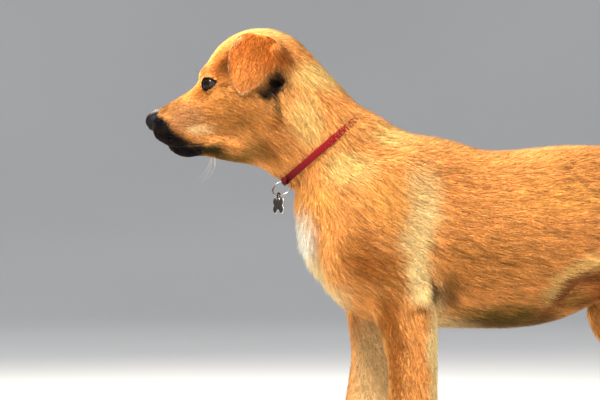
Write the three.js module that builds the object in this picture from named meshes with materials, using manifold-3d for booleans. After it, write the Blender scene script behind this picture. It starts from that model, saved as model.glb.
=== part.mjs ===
// A puppy of about four months, standing square and looking straight ahead.
// Millimetres. The dog faces -Y, its left side is +X, up is +Z. The anatomy is written in a frame
// whose floor is z = 0, and the finished group is shifted so that its origin is the centre of the
// bottom of its box.
import * as THREE from 'three';
import { mergeVertices } from 'three/addons/utils/BufferGeometryUtils.js';
import Module from 'manifold-3d';

const wasm = await Module();
wasm.setup();

// ---------------------------------------------------------------- driving dimensions
const GAP = 0.4;                     // between a piece and the neighbour that it is seated on
const CUT = 0.3;                     // width of a plane cut through the body
const TAIL_GAP = 1.2;                // between the tail's root and the rump
const HEAD_PITCH = 22;               // degrees, muzzle below the horizontal
const NECK_PITCH = -44;              // degrees, neck rising forward
const EYE = { x: 25.5, y: -261, z: 454.5, radius: 10 };
const FORE_PAW = { x: 50, y: -56, length: 78, width: 54, height: 37 };
const HIND_PAW = { x: 55, y: 262, length: 74, width: 50, height: 33 };
const FORE_STRIDE = 63;              // how far the right forepaw stands ahead of the left
const HIND_STRIDE = 30;              // how far the right hindpaw stands ahead of the left
const FORE_PIVOT = 375;              // height about which the right foreleg is swung
const HIND_PIVOT = 300;
const FLAP = { foldY: -212, foldZ: 504, length: 64, lean: 15.5, x: 49.5, thick: 2.6 };
const CLAW_RADIUS = 3;
const COLLAR_AT = { y: -140, z: 384.5, pitch: -49 };         // its centre and its axis
const COLLAR = { width: 10, thickness: 3, sunk: 2.6, facets: 26, clear: 8 };
const LOOP = { radius: 4, hole: 2.2, width: 6, out: 3.5 };
const RING = { radius: 11, wire: 1.1, around: 25 };          // around: degrees from the throat
const TAG = { width: 25, height: 18, thickness: 1.8, lobe: 4.9, waist: 11 };
const EYELET = { radius: 3, wire: 0.8, lug: 2.4 };
// Where the body is parted into pieces.
const HEAD_CUT_AT = { y: -180, z: 426, pitch: -21 };
const NECK_BASE = -45;               // along the neck
const FORE_CUT = { inner: 24, height: 185, slope: 31, rear: 60 };
const HIND_CUT_AT = { y: 148, z: 199, pitch: 22 };
const PAW_TOP = { fore: 50, hind: 44 };

// ---------------------------------------------------------------- field tools
const rad = THREE.MathUtils.degToRad;

const smoothMin = (a, b, k) => {
  const h = Math.max(k - Math.abs(a - b), 0) / k;
  return Math.min(a, b) - h * h * k / 4;
};
const smoothMax = (a, b, k) => -smoothMin(-a, -b, k);
const blend = (k, ...fields) => (x, y, z) => {
  let d = fields[0](x, y, z);
  for (let i = 1; i < fields.length; i++) d = smoothMin(d, fields[i](x, y, z), k);
  return d;
};
const carve = (k, body, ...tools) => (x, y, z) => {
  let d = body(x, y, z);
  for (const tool of tools) d = smoothMax(d, -tool(x, y, z), k);
  return d;
};
const bothSides = (field) => (x, y, z) => field(Math.abs(x), y, z);

// A frame in the body's mid-plane: `along` points forward and down by `pitch`, `up` is across it.
const frameAt = (y, z, pitch) => {
  const c = Math.cos(rad(pitch));
  const s = Math.sin(rad(pitch));
  return {
    toLocal: (wy, wz) => [-(wy - y) * c - (wz - z) * s, -(wy - y) * s + (wz - z) * c],
    toWorld: (along, up) => [y - along * c - up * s, z - along * s + up * c],
  };
};
const UPRIGHT = frameAt(0, 0, -90);  // along is z, up is y
const LEVEL = frameAt(0, 0, 0);      // along is -y, up is z
const HEAD = frameAt(-266, 455, HEAD_PITCH);
const NECK = frameAt(-143.5, 388, NECK_PITCH);

// Smooth curve through the stations of one column of a table, its slopes taken from neighbours.
const through = (rows, column, at) => {
  const last = rows.length - 1;
  if (at <= rows[0][0]) return rows[0][column];
  if (at >= rows[last][0]) return rows[last][column];
  let i = 0;
  while (rows[i + 1][0] < at) i++;
  const slope = (j) => {
    const a = Math.max(j - 1, 0);
    const b = Math.min(j + 1, last);
    return (rows[b][column] - rows[a][column]) / (rows[b][0] - rows[a][0]);
  };
  const step = rows[i + 1][0] - rows[i][0];
  const t = (at - rows[i][0]) / step;
  const t2 = t * t;
  const t3 = t2 * t;
  return (2 * t3 - 3 * t2 + 1) * rows[i][column] + (t3 - 2 * t2 + t) * step * slope(i)
    + (3 * t2 - 2 * t3) * rows[i + 1][column] + (t3 - t2) * step * slope(i + 1);
};

// A body lofted through sections. Columns: along, top, bottom, half width, squareness (2 is an
// ellipse), egg (above 0 is wider below), sideways centre.
const loft = (frame, rows) => {
  const first = rows[0][0];
  const last = rows[rows.length - 1][0];
  return (x, y, z) => {
    const [along, up] = frame.toLocal(y, z);
    const at = Math.min(Math.max(along, first), last);
    const top = through(rows, 1, at);
    const bottom = through(rows, 2, at);
    const half = through(rows, 3, at);
    const square = through(rows, 4, at);
    const egg = through(rows, 5, at);
    const middle = through(rows, 6, at);
    const centre = (top + bottom) / 2;
    const v = (up - centre) / ((top - bottom) / 2);
    const width = half * (1 - egg * Math.min(Math.max(v, -1.2), 1.2));
    const ratio = Math.max(
      (Math.abs((x - middle) / width) ** square + Math.abs(v) ** square) ** (1 / square), 1e-6);
    const reach = Math.hypot(x - middle, up - centre);
    const side = reach - reach / ratio;
    const past = Math.max(first - along, along - last);
    return past > 0 ? Math.hypot(Math.max(side, 0), past) : Math.max(side, past);
  };
};

// An ellipsoid in a mid-plane frame: place and radii are [along, sideways, up].
const mass = (frame, place, radii) => (x, y, z) => {
  const [along, up] = frame.toLocal(y, z);
  const p = [along - place[0], x - place[1], up - place[2]];
  const near = Math.hypot(p[0] / radii[0], p[1] / radii[1], p[2] / radii[2]);
  const far = Math.hypot(p[0] / radii[0] ** 2, p[1] / radii[1] ** 2, p[2] / radii[2] ** 2);
  return near * (near - 1) / Math.max(far, 1e-6);
};

// A chain of tapering round links. Each stop is [x, y, z, radius].
const chain = (stops) => (x, y, z) => {
  let best = Infinity;
  for (let i = 0; i < stops.length - 1; i++) {
    const [ax, ay, az, ar] = stops[i];
    const [bx, by, bz, br] = stops[i + 1];
    const length2 = (bx - ax) ** 2 + (by - ay) ** 2 + (bz - az) ** 2;
    const dot = (x - ax) * (bx - ax) + (y - ay) * (by - ay) + (z - az) * (bz - az);
    const t = Math.min(Math.max(dot / length2, 0), 1);
    const d = Math.hypot(x - ax - t * (bx - ax), y - ay - t * (by - ay), z - az - t * (bz - az));
    best = Math.min(best, d - ar - t * (br - ar));
  }
  return best;
};

// ---------------------------------------------------------------- head
const muzzle = loft(HEAD, [
  // along, top, bottom, half, square, egg, middle
  [-30, 19, -60, 41, 2.1, 0.1, 0],
  [-8, 17, -62, 38, 2.1, 0.15, 0],
  [4, 10, -62, 33.5, 2.2, 0.2, 0],
  [16, 3, -60, 30, 2.3, 0.26, 0],
  [34, -1, -57, 27, 2.4, 0.26, 0],
  [52, -3.5, -51, 24.5, 2.4, 0.2, 0],
  [64, -5, -44.5, 22, 2.3, 0.12, 0],
  [71, -7, -39, 18.5, 2.2, 0.05, 0],
  [75.5, -12, -34, 13.5, 2.1, 0, 0],
]);
const lowerJaw = loft(HEAD, [
  [-60, -50, -102, 34, 2, 0, 0],
  [-30, -48, -108, 36, 2, 0, 0],
  [-5, -50, -96, 32, 2, 0, 0],
  [18, -50, -82, 26, 2.1, -0.1, 0],
  [36, -50, -70, 21, 2.2, -0.1, 0],
  [50, -44, -66, 18.5, 2.2, -0.1, 0],
  [58, -40, -61, 16, 2.2, 0, 0],
  [65, -38, -52.5, 12, 2, 0, 0],
]);
const skull = mass(HEAD, [-54, 0, -6], [56.5, 43.5, 46.5]);
const nape = mass(HEAD, [-74, 0, -26], [43, 43, 47]);
const cheek = bothSides(mass(HEAD, [-30, 27, -32], [42, 22, 34]));
const jawAngle = bothSides(mass(HEAD, [-46, 25, -64], [34, 21, 34]));
const brow = bothSides(mass(HEAD, [-10, 19, 9], [16, 14, 10]));
const eyeHollow = bothSides(mass(HEAD, [8, 41, -3], [15, 11, 10]));
const earHollow = bothSides(mass(frameAt(-190, 456, 0), [0, 51, 0], [10, 15, 10]));
const headMass = carve(5, blend(11, skull, nape, muzzle, lowerJaw, cheek, jawAngle, brow),
  eyeHollow, earHollow);

const nosePlate = mass(HEAD, [66, 0, -14], [13, 13.5, 10]);
const noseWing = bothSides(mass(HEAD, [69, 8.5, -17], [10.5, 7.5, 9.5]));
const nostril = bothSides(mass(HEAD, [75, 8, -17], [7, 2.8, 3.4]));
const nosePad = carve(2, blend(5, nosePlate, noseWing), nostril);

// ---------------------------------------------------------------- ears
// The pinna stands up from its base, folds over, and its flap hangs forward and down to a soft
// point. `down` runs from the fold to the tip and `back` across the flap.
const flapHalfWidth = [
  [-4, 8], [0, 14], [5, 18.5], [12, 22.5], [20, 24], [32, 23.5], [43, 19.5], [54, 12],
  [61, 6], [64, 1],
];
const FLAP_ALONG = [Math.cos(rad(FLAP.lean)), Math.sin(rad(FLAP.lean))];
// How far the middle of the flap stands from the mid-plane.
const flapStand = (down, back) => {
  const share = Math.min(Math.max(down, 0), FLAP.length) / FLAP.length;
  const bulge = 16 * share * (1 - share);
  const flare = 2 * share;
  return FLAP.x + bulge + flare - 0.01 * back * back;
};
// The root rises from the skull to the fold, a soft roll along the flap's upper edge.
const EAR_ROOT = [[37, -188, 474, 12], [43, -194, 491, 10]];
const EAR_FOLD = [[46, -228, 499, 5.5], [43, -199, 499, 7]];
const EAR_WEB = [[36, -204, 476, 9], [43, -220, 493, 6.5]];

// ---------------------------------------------------------------- neck and trunk
const neckMass = loft(NECK, [
  [-95, 65, -110.5, 62, 2, -0.1, 0],
  [-60, 70, -93, 57, 2, -0.05, 0],
  [-38, 71.5, -76, 52.5, 2, 0, 0],
  [-20, 69.5, -60, 50.2, 2, 0, 0],
  [-7, 64, -56, 49.2, 2, 0, 0],
  [7, 62.5, -61, 48, 2, 0, 0],
  [25, 64, -59, 47, 2, 0, 0],
  [60, 65, -48, 44, 2, 0, 0],
  [82, 61, -28, 39, 2, 0, 0],
  [102, 57, -6, 32, 2, 0, 0],
  [118, 49, 10, 22, 2, 0, 0],
]);
const trunkMass = loft(LEVEL, [
  [-302, 350, 300, 26, 2, 0, 0],
  [-285, 364, 268, 50, 2, 0, 0],
  [-250, 376, 240, 60, 2, 0, 0],
  [-210, 384, 232, 62, 2, 0, 0],
  [-160, 388.5, 214, 67, 2.1, 0, 0],
  [-115, 388.5, 195, 75, 2.1, 0.04, 0],
  [-75, 384, 187.5, 81, 2.1, 0.06, 0],
  [-35, 384, 186.5, 82, 2.1, 0.05, 0],
  [0, 394.5, 187, 80, 2.1, 0.04, 0],
  [40, 401, 188, 74, 2.1, 0, 0],
  [70, 400, 192, 64, 2.1, -0.05, 0],
  [115, 388, 207, 56, 2.1, -0.1, 0],
  [142, 366, 241, 43, 2, -0.1, 0],
  [157, 335, 270, 26, 2, 0, 0],
]);
const shoulder = bothSides(mass(frameAt(-78, 300, 62), [0, 50, 0], [92, 26, 48]));
const upperArm = bothSides(mass(frameAt(-80, 250, 150), [0, 54, 0], [68, 26, 40]));
const thigh = bothSides(mass(frameAt(240, 285, 100), [0, 45, 0], [86, 28, 62]));
const rump = bothSides(mass(LEVEL, [-262, 30, 325], [40, 38, 44]));

// ---------------------------------------------------------------- legs
// Columns: height, rear, front, half width, squareness, egg, sideways centre.
const foreLegRows = [
  [28, -28, -78, 20, 2.2, 0, 50],
  [50, -24, -68, 18.5, 2.2, 0, 50],
  [72, -19, -67, 18.5, 2.2, 0, 50.5],
  [92, -15, -69, 20.5, 2.2, 0, 51],
  [114, -15.5, -69.5, 19.5, 2.2, 0, 51.5],
  [150, -15.5, -70.5, 20.5, 2.2, 0, 52],
  [180, -15.5, -77, 22.5, 2.2, 0, 53.5],
  [200, -16, -84, 24, 2.2, 0, 54],
  [226, -16, -96, 24.5, 2.1, 0, 54],
  [255, -24, -112, 24, 2, 0, 54],
];
const hindLegRows = [
  [24, 292, 236, 18.5, 2.2, 0, 54],
  [50, 300, 262, 14.5, 2.2, 0, 54],
  [74, 308, 268, 15, 2.2, 0, 54.5],
  [90, 314, 266, 16.5, 2.2, 0, 55],
  [108, 311, 250, 17, 2.2, 0, 56],
  [130, 300, 226, 19, 2.2, 0, 57],
  [155, 289, 198, 22, 2.2, 0, 57],
  [180, 285, 174, 25, 2.1, 0, 55],
  [210, 290, 163, 27, 2.1, 0, 52],
  [250, 300, 166, 28, 2, 0, 48],
  [300, 300, 190, 28, 2, 0, 44],
];
// The right legs are mirrored, and swung forward by `stride` at the floor about a height.
const swung = (field, side, stride, pivot) => (side > 0 ? field
  : (x, y, z) => field(-x, y + stride * Math.max(1 - z / pivot, 0), z));

// ---------------------------------------------------------------- paws
// Shares of the paw's width, length and width.
const TOES = [
  { across: -0.36, ahead: 0.18, radius: 0.165 },
  { across: -0.125, ahead: 0.32, radius: 0.175 },
  { across: 0.125, ahead: 0.32, radius: 0.175 },
  { across: 0.36, ahead: 0.18, radius: 0.165 },
];
const pawField = (paw) => {
  const at = (ahead) => -paw.y + ahead * paw.length;
  const instep = mass(LEVEL, [at(-0.1), paw.x, paw.height * 0.5],
    [paw.length * 0.36, paw.width * 0.37, paw.height * 0.52]);
  const heel = mass(LEVEL, [at(-0.2), paw.x, paw.height * 0.22],
    [paw.length * 0.28, paw.width * 0.36, paw.height * 0.32]);
  const toes = TOES.map((toe) => mass(LEVEL,
    [at(toe.ahead), paw.x + toe.across * paw.width, paw.height * 0.4],
    [paw.length * 0.22, toe.radius * paw.width, paw.height * 0.48]));
  return blend(6, blend(2.5, ...toes), blend(8, instep, heel));
};
const clawAt = (ahead, height) => (paw, toe, side, step) => [
  side * (paw.x + toe.across * paw.width),
  paw.y - (toe.ahead + ahead) * paw.length - step,
  height * paw.height,
];
const clawRoot = clawAt(0.11, 0.46);
const clawTip = clawAt(0.27, 0.14);

// ---------------------------------------------------------------- tail
const tailMass = chain([
  [0, 286, 348, 17],
  [0, 303, 322, 15.5],
  [0, 315, 290, 14],
  [0, 323, 250, 12],
  [0, 329, 212, 10],
  [0, 336, 178, 7.5],
  [0, 344, 152, 3.5],
]);

// ---------------------------------------------------------------- whole body
const foreLimb = (side) => swung(
  blend(9, loft(UPRIGHT, foreLegRows), pawField(FORE_PAW)), side, FORE_STRIDE, FORE_PIVOT);
const hindLimb = (side) => swung(
  blend(9, loft(UPRIGHT, hindLegRows), pawField(HIND_PAW)), side, HIND_STRIDE, HIND_PIVOT);
const torso = blend(16, blend(22, trunkMass, neckMass), blend(24, shoulder, upperArm), thigh, rump);
const fore = [foreLimb(1), foreLimb(-1)];
const hind = [hindLimb(1), hindLimb(-1)];
const limbs = (x, y, z) => Math.min(
  fore[0](x, y, z), fore[1](x, y, z), hind[0](x, y, z), hind[1](x, y, z));
const torsoAndHead = blend(16, torso, headMass);
const dog = blend(14, torsoAndHead, limbs);

// ---------------------------------------------------------------- meshing
// Even steps from low to high, both included.
const steps = (low, high, size) => {
  const count = Math.max(Math.round((high - low) / size), 1);
  return Array.from({ length: count + 1 }, (_, i) => low + (high - low) * i / count);
};

const CORNERS = [0, 1, 2, 3, 4, 5, 6, 7].map((c) => [c & 1, (c >> 1) & 1, (c >> 2) & 1]);
const AXIS_BITS = [1, 2, 4];
// The twelve edges of a cell as pairs of corners, numbered by their lower corner and direction.
const EDGES = [];
for (let corner = 0; corner < 8; corner++) {
  for (const bit of AXIS_BITS) if (!(corner & bit)) EDGES.push([corner, corner | bit]);
}
const edgeNumber = (a, b) => EDGES.findIndex(([p, q]) => (p === a && q === b) || (p === b && q === a));
// The six faces, each as four corners in order round it.
const FACES = [];
for (let n = 0; n < 3; n++) {
  const a = AXIS_BITS[(n + 1) % 3];
  const b = AXIS_BITS[(n + 2) % 3];
  for (const base of [0, AXIS_BITS[n]]) FACES.push([base, base | a, base | a | b, base | b]);
}

// Groups the crossed edges of a cell into the separate sheets that pass through it.
const sheetsOf = (inside) => {
  const parent = EDGES.map((_, e) => e);
  const root = (e) => (parent[e] === e ? e : root(parent[e]));
  for (const face of FACES) {
    const crossed = [];
    for (let n = 0; n < 4; n++) {
      const [a, b] = [face[n], face[(n + 1) % 4]];
      if (inside[a] !== inside[b]) crossed.push(edgeNumber(a, b));
    }
    if (crossed.length === 2) parent[root(crossed[0])] = root(crossed[1]);
    if (crossed.length === 4) {
      for (let n = 0; n < 4; n++) {
        if (!inside[face[n]]) continue;
        const before = edgeNumber(face[(n + 3) % 4], face[n]);
        const after = edgeNumber(face[n], face[(n + 1) % 4]);
        parent[root(before)] = root(after);
      }
    }
  }
  return EDGES.map(([a, b], e) => (inside[a] === inside[b] ? -1 : root(e)));
};

// A point moved a little way along the field's slope, so that it lies where field = level.
const ontoSurface = (field, level, point) => {
  const reach = 0.5;
  const limit = 3;
  let at = point;
  for (let round = 0; round < 2; round++) {
    const value = field(...at) - level;
    const slope = [0, 1, 2].map((n) => {
      const beside = (offset) => field(...at.map((p, m) => (m === n ? p + offset : p)));
      return (beside(reach) - beside(-reach)) / (2 * reach);
    });
    const steep = Math.max(slope[0] ** 2 + slope[1] ** 2 + slope[2] ** 2, 0.25);
    const move = Math.min(Math.max(value / steep, -limit), limit);
    at = at.map((p, n) => p - move * slope[n]);
  }
  return at;
};

// The closed surface where field = level inside a box-shaped grid of a mid-plane frame: one
// vertex for every sheet in every cell, joined by a quad round every grid edge that is crossed.
const netSolid = (field, frame, alongs, xs, ups, level = 0) => {
  const axes = [alongs, xs, ups];
  const sizes = axes.map((axis) => axis.length);
  const index = (i, j, k) => (i * sizes[1] + j) * sizes[2] + k;
  const values = new Float64Array(sizes[0] * sizes[1] * sizes[2]);
  const eachCell = (visit) => {
    for (let i = 0; i < sizes[0] - 1; i++) {
      for (let j = 0; j < sizes[1] - 1; j++) {
        for (let k = 0; k < sizes[2] - 1; k++) visit(i, j, k);
      }
    }
  };
  for (let i = 0; i < sizes[0]; i++) {
    for (let j = 0; j < sizes[1]; j++) {
      for (let k = 0; k < sizes[2]; k++) {
        const rim = [i, j, k].some((n, axis) => n === 0 || n === sizes[axis] - 1);
        const [y, z] = frame.toWorld(alongs[i], ups[k]);
        const value = field(xs[j], y, z) - level;
        values[index(i, j, k)] = rim ? Math.max(value, 1e-3) : value;
      }
    }
  }
  const vertices = [];
  const cellSheets = new Map();
  eachCell((i, j, k) => {
    const v = CORNERS.map(([a, b, c]) => values[index(i + a, j + b, k + c)]);
    const inside = v.map((value) => value < 0);
    if (inside.every((flag) => flag === inside[0])) return;
    const sheets = sheetsOf(inside);
    const sums = new Map();
    EDGES.forEach(([a, b], e) => {
      if (sheets[e] < 0) return;
      const t = v[a] / (v[a] - v[b]);
      const sum = sums.get(sheets[e]) ?? [0, 0, 0, 0];
      [i, j, k].forEach((cell, n) => {
        const low = axes[n][cell + CORNERS[a][n]];
        const high = axes[n][cell + CORNERS[b][n]];
        sum[n] += low + t * (high - low);
      });
      sum[3]++;
      sums.set(sheets[e], sum);
    });
    const atRim = [i, j, k].some((cell, n) => cell === 0 || cell === sizes[n] - 2);
    const numbers = new Map();
    for (const [sheet, [along, x, up, count]] of sums) {
      const [y, z] = frame.toWorld(along / count, up / count);
      numbers.set(sheet, vertices.length / 3);
      vertices.push(...(atRim ? [x / count, y, z] : ontoSurface(field, level, [x / count, y, z])));
    }
    cellSheets.set(index(i, j, k), sheets.map((sheet) => numbers.get(sheet)));
  });
  const triangles = [];
  eachCell((i, j, k) => {
    for (let n = 0; n < 3; n++) {
      if ([i, j, k].some((cell, axis) => cell === 0 && axis !== n)) continue;
      const unit = (axis) => [0, 1, 2].map((m) => (m === axis % 3 ? 1 : 0));
      const [step, a, b] = [unit(n), unit(n + 1), unit(n + 2)];
      const here = values[index(i, j, k)];
      const next = values[index(i + step[0], j + step[1], k + step[2])];
      if ((here < 0) === (next < 0)) continue;
      const corner = ([p, q]) => {
        const low = AXIS_BITS[(n + 1) % 3] * p + AXIS_BITS[(n + 2) % 3] * q;
        const cell = index(
          i - p * a[0] - q * b[0], j - p * a[1] - q * b[1], k - p * a[2] - q * b[2]);
        return cellSheets.get(cell)[edgeNumber(low, low | AXIS_BITS[n])];
      };
      const quad = [[1, 1], [0, 1], [0, 0], [1, 0]].map(corner);
      if (here >= 0) quad.reverse();
      const apart = (p, q) => Math.hypot(
        ...[0, 1, 2].map((m) => vertices[3 * quad[p] + m] - vertices[3 * quad[q] + m]));
      if (apart(0, 2) > apart(1, 3)) quad.push(quad.shift());
      triangles.push(quad[0], quad[1], quad[2], quad[0], quad[2], quad[3]);
    }
  });
  return { vertices, triangles };
};

const toManifold = ({ vertices, triangles }) => new wasm.Manifold(new wasm.Mesh({
  numProp: 3,
  vertProperties: new Float32Array(vertices),
  triVerts: new Uint32Array(triangles),
}));
const fromManifold = (solid) => {
  const mesh = solid.getMesh();
  const geometry = new THREE.BufferGeometry();
  geometry.setAttribute('position', new THREE.BufferAttribute(mesh.vertProperties, 3));
  geometry.setIndex(new THREE.BufferAttribute(mesh.triVerts, 1));
  return geometry;
};

// ---------------------------------------------------------------- solids
const outward = (vertices, triangles) => {
  const solid = toManifold({ vertices, triangles });
  return solid.volume() > 0 ? solid : toManifold({ vertices, triangles: triangles.reverse() });
};
// A box in a mid-plane frame, from its low to its high corner in along, x and up.
const boxSolid = (frame, low, high) => {
  const geometry = new THREE.BoxGeometry(
    high[1] - low[1], high[0] - low[0], high[2] - low[2]);
  geometry.translate((low[1] + high[1]) / 2, (low[0] + high[0]) / 2, (low[2] + high[2]) / 2);
  const position = geometry.getAttribute('position');
  for (let i = 0; i < position.count; i++) {
    const [y, z] = frame.toWorld(position.getY(i), position.getZ(i));
    position.setXYZ(i, position.getX(i), y, z);
  }
  return solidOf(geometry);
};
// A three.js geometry as a solid, its faces turned outwards.
const solidOf = (source) => {
  const bare = source.clone();
  bare.deleteAttribute('normal');
  bare.deleteAttribute('uv');
  const geometry = mergeVertices(bare, 1e-4);
  return outward(geometry.attributes.position.array, Array.from(geometry.index.array));
};

// The largest of a solid's separate pieces.
const biggest = (solid) => solid.decompose().sort((a, b) => b.volume() - a.volume())[0];
// Moves a new geometry's own axes onto the given ones.
const placed = (geometry, xAxis, yAxis, zAxis, centre) => solidOf(geometry.clone().applyMatrix4(
  new THREE.Matrix4().makeBasis(xAxis, yAxis, zAxis).setPosition(centre)));

// A cell that two sheets cross can't share one vertex, so the grid is nudged until none does.
const NUDGE = 0.37;
const net = (field, grid, level = 0) => {
  for (let nudge = 0; nudge < 8; nudge++) {
    const shifted = (values) => values.map((v) => v + NUDGE * nudge);
    try {
      return toManifold(netSolid(
        field, grid.frame, shifted(grid.alongs), grid.xs, shifted(grid.ups), level));
    } catch (error) {
      if (error.code !== 'NotManifold') throw error;
    }
  }
  throw new Error('no grid gives a manifold surface');
};
// Grid lines of each net: they pass the surface, or the cut that ends it, by one cell or more.
const BEYOND = 400;                  // past everything, for cutting boxes
const GRIDS = {
  head: {
    frame: HEAD,
    alongs: [...steps(-154, -34, 17), ...steps(-21, 76, 10.6), 85],
    xs: steps(-66, 66, 10.1),
    ups: steps(-142, 62, 11.3),
  },
  nose: { frame: HEAD, alongs: steps(43, 90, 5.2), xs: steps(-25, 25, 5), ups: steps(-37, 7, 4.9) },
  neck: { frame: NECK, alongs: steps(-96, 128, 26), xs: steps(-80, 80, 22), ups: steps(-130, 118, 25) },
  trunk: { frame: LEVEL, alongs: steps(-340, 216, 28), xs: steps(-120, 120, 24), ups: steps(140, 440, 27) },
  tail: { frame: LEVEL, alongs: steps(-362, -270, 11.5), xs: steps(-30, 30, 12), ups: steps(132, 392, 20) },
  foreleg: { frame: LEVEL, alongs: steps(-16, 186, 15), xs: steps(6, 106, 12.5), ups: steps(12, 264, 23) },
  hindleg: { frame: LEVEL, alongs: steps(-345, -110, 17), xs: steps(-8, 108, 16), ups: steps(6, 306, 22) },
};
// The same grid on the other side of the body.
const onSide = (grid, side) => (side > 0 ? grid
  : { ...grid, xs: grid.xs.map((x) => -x).reverse() });
const pawGrid = (paw, step) => ({
  frame: LEVEL,
  alongs: steps(-paw.y - 54 + step * 0.8, -paw.y + 58 + step, 11.4),
  xs: steps(paw.x - 44, paw.x + 44, 11),
  ups: steps(-20, 68, 11.4),
});

const COAT = { gold: 0xc98742, rust: 0xb96a2c };
const SIDES = [[1, 'left'], [-1, 'right']];
const group = new THREE.Group();
const add = (name, solid, color, roughness, metalness = 0) => {
  const material = new THREE.MeshStandardMaterial({ color, roughness, metalness });
  const mesh = new THREE.Mesh(fromManifold(biggest(solid)), material);
  mesh.name = name;
  group.add(mesh);
};

// ---------------------------------------------------------------- head, nose, eyes and ears
const HEAD_CUT = frameAt(HEAD_CUT_AT.y, HEAD_CUT_AT.z, HEAD_CUT_AT.pitch);
const headBlock = boxSolid(HEAD_CUT, [CUT / 2, -BEYOND, -BEYOND], [BEYOND, BEYOND, BEYOND]);
const behindHead = boxSolid(HEAD_CUT, [-CUT / 2, -BEYOND, -BEYOND], [BEYOND, BEYOND, BEYOND]);
const eyeSolid = (side, radius) => {
  const geometry = new THREE.SphereGeometry(radius, 12, 7);
  geometry.rotateZ(-rad(45));
  geometry.translate(EYE.x, EYE.y, EYE.z);
  geometry.scale(side, 1, 1);
  return solidOf(geometry);
};
// A round link of the ear between two stops, as a stretched and tapered ball.
const earLink = (side, [low, high]) => {
  const from = new THREE.Vector3(...low.slice(0, 3));
  const to = new THREE.Vector3(...high.slice(0, 3));
  const geometry = new THREE.CapsuleGeometry(1, 1, 2, 6);
  const position = geometry.getAttribute('position');
  const turn = new THREE.Quaternion().setFromUnitVectors(
    new THREE.Vector3(0, 1, 0), to.clone().sub(from).normalize());
  const point = new THREE.Vector3();
  for (let i = 0; i < position.count; i++) {
    point.fromBufferAttribute(position, i);
    const [end, radius] = point.y > 0 ? [to, high[3]] : [from, low[3]];
    point.y += point.y > 0 ? -0.5 : 0.5;
    point.multiplyScalar(radius).applyQuaternion(turn).add(end);
    position.setXYZ(i, side * point.x, point.y, point.z);
  }
  return solidOf(geometry);
};
// The flap as a sheet of quads, its outer and inner faces joined along a thin rim.
const flapSolid = (side) => {
  const rows = [-4, 5, 18, 33, 48, FLAP.length];
  const across = steps(-1, 1, 0.5);
  const [c, s] = FLAP_ALONG;
  const vertices = [];
  const triangles = [];
  for (const face of [1, -1]) {
    for (const down of rows) {
      for (const share of across) {
        const back = share * through(flapHalfWidth, 1, down);
        const thin = FLAP.thick * (Math.abs(share) === 1 || down === FLAP.length ? 0.5 : 1);
        vertices.push(side * (flapStand(down, back) + face * thin),
          FLAP.foldY - down * s + back * c, FLAP.foldZ - down * c - back * s);
      }
    }
  }
  const count = across.length;
  const inner = rows.length * count;
  const quad = (p, q, r, t) => triangles.push(p, q, r, p, r, t);
  for (let i = 0; i < rows.length - 1; i++) {
    for (let j = 0; j < count - 1; j++) {
      const p = i * count + j;
      quad(p, p + count, p + count + 1, p + 1);
      quad(inner + p, inner + p + 1, inner + p + count + 1, inner + p + count);
    }
    const first = i * count;
    quad(first, inner + first, inner + first + count, first + count);
    const last = first + count - 1;
    quad(last, last + count, inner + last + count, inner + last);
  }
  for (let j = 0; j < count - 1; j++) {
    const bottom = (rows.length - 1) * count + j;
    quad(j, j + 1, inner + j + 1, inner + j);
    quad(bottom, inner + bottom, inner + bottom + 1, bottom + 1);
  }
  return outward(vertices, triangles);
};
const head = net(dog, GRIDS.head).intersect(headBlock)
  .subtract(net(nosePad, GRIDS.nose, GAP))
  .subtract(eyeSolid(1, EYE.radius + GAP))
  .subtract(eyeSolid(-1, EYE.radius + GAP));
add('head', head, COAT.gold, 0.9);
add('nose', net(nosePad, GRIDS.nose), 0x1c1a1b, 0.45);
const headGrown = net(dog, GRIDS.head, GAP);
for (const [side, name] of SIDES) {
  add(`eye_${name}`, eyeSolid(side, EYE.radius), 0x2a1710, 0.1);
  const links = [EAR_ROOT, EAR_FOLD, EAR_WEB].map((stops) => earLink(side, stops));
  const ear = links.reduce((whole, link) => whole.add(link), flapSolid(side));
  add(`ear_${name}`, ear.subtract(headGrown), COAT.rust, 0.9);
}

// ---------------------------------------------------------------- neck and collar
const collarFrame = frameAt(COLLAR_AT.y, COLLAR_AT.z, COLLAR_AT.pitch);
// A point of the collar's plane, at a radius and an angle from the nape.
const roundNeck = (angle, radius, along = 0) => {
  const [y, z] = collarFrame.toWorld(along, radius * Math.cos(angle));
  return [radius * Math.sin(angle), y, z];
};
// How far the neck's surface stands from the collar's centre at an angle.
const neckRadius = (angle) => {
  let near = 0;
  let far = 110;
  while (far - near > 1e-3) {
    const radius = (near + far) / 2;
    if (dog(...roundNeck(angle, radius)) < 0) near = radius;
    else far = radius;
  }
  return near;
};
// A ring of boxes round the neck, from `inner` to `outer` above its surface.
const band = (inner, outer, halfWidth) => {
  const vertices = [];
  const triangles = [];
  for (let i = 0; i < COLLAR.facets; i++) {
    const angle = 2 * Math.PI * i / COLLAR.facets;
    const radius = neckRadius(angle);
    for (const [along, grow] of [
      [-halfWidth, inner], [halfWidth, inner], [halfWidth, outer], [-halfWidth, outer]]) {
      vertices.push(...roundNeck(angle, radius + grow, along));
    }
    const next = 4 * ((i + 1) % COLLAR.facets);
    for (let j = 0; j < 4; j++) {
      const [a, b, c, d] = [4 * i + j, 4 * i + (j + 1) % 4, next + (j + 1) % 4, next + j];
      triangles.push(a, b, c, a, c, d);
    }
  }
  return outward(vertices, triangles);
};
const collarOuter = COLLAR.thickness - COLLAR.sunk;
const neck = net(dog, GRIDS.neck)
  .intersect(boxSolid(NECK, [NECK_BASE + CUT / 2, -BEYOND, -BEYOND], [BEYOND, BEYOND, BEYOND]))
  .subtract(behindHead)
  .subtract(band(-COLLAR.sunk - GAP, COLLAR.clear, COLLAR.width / 2 + GAP));
add('neck', neck, COAT.gold, 0.9);
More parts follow.
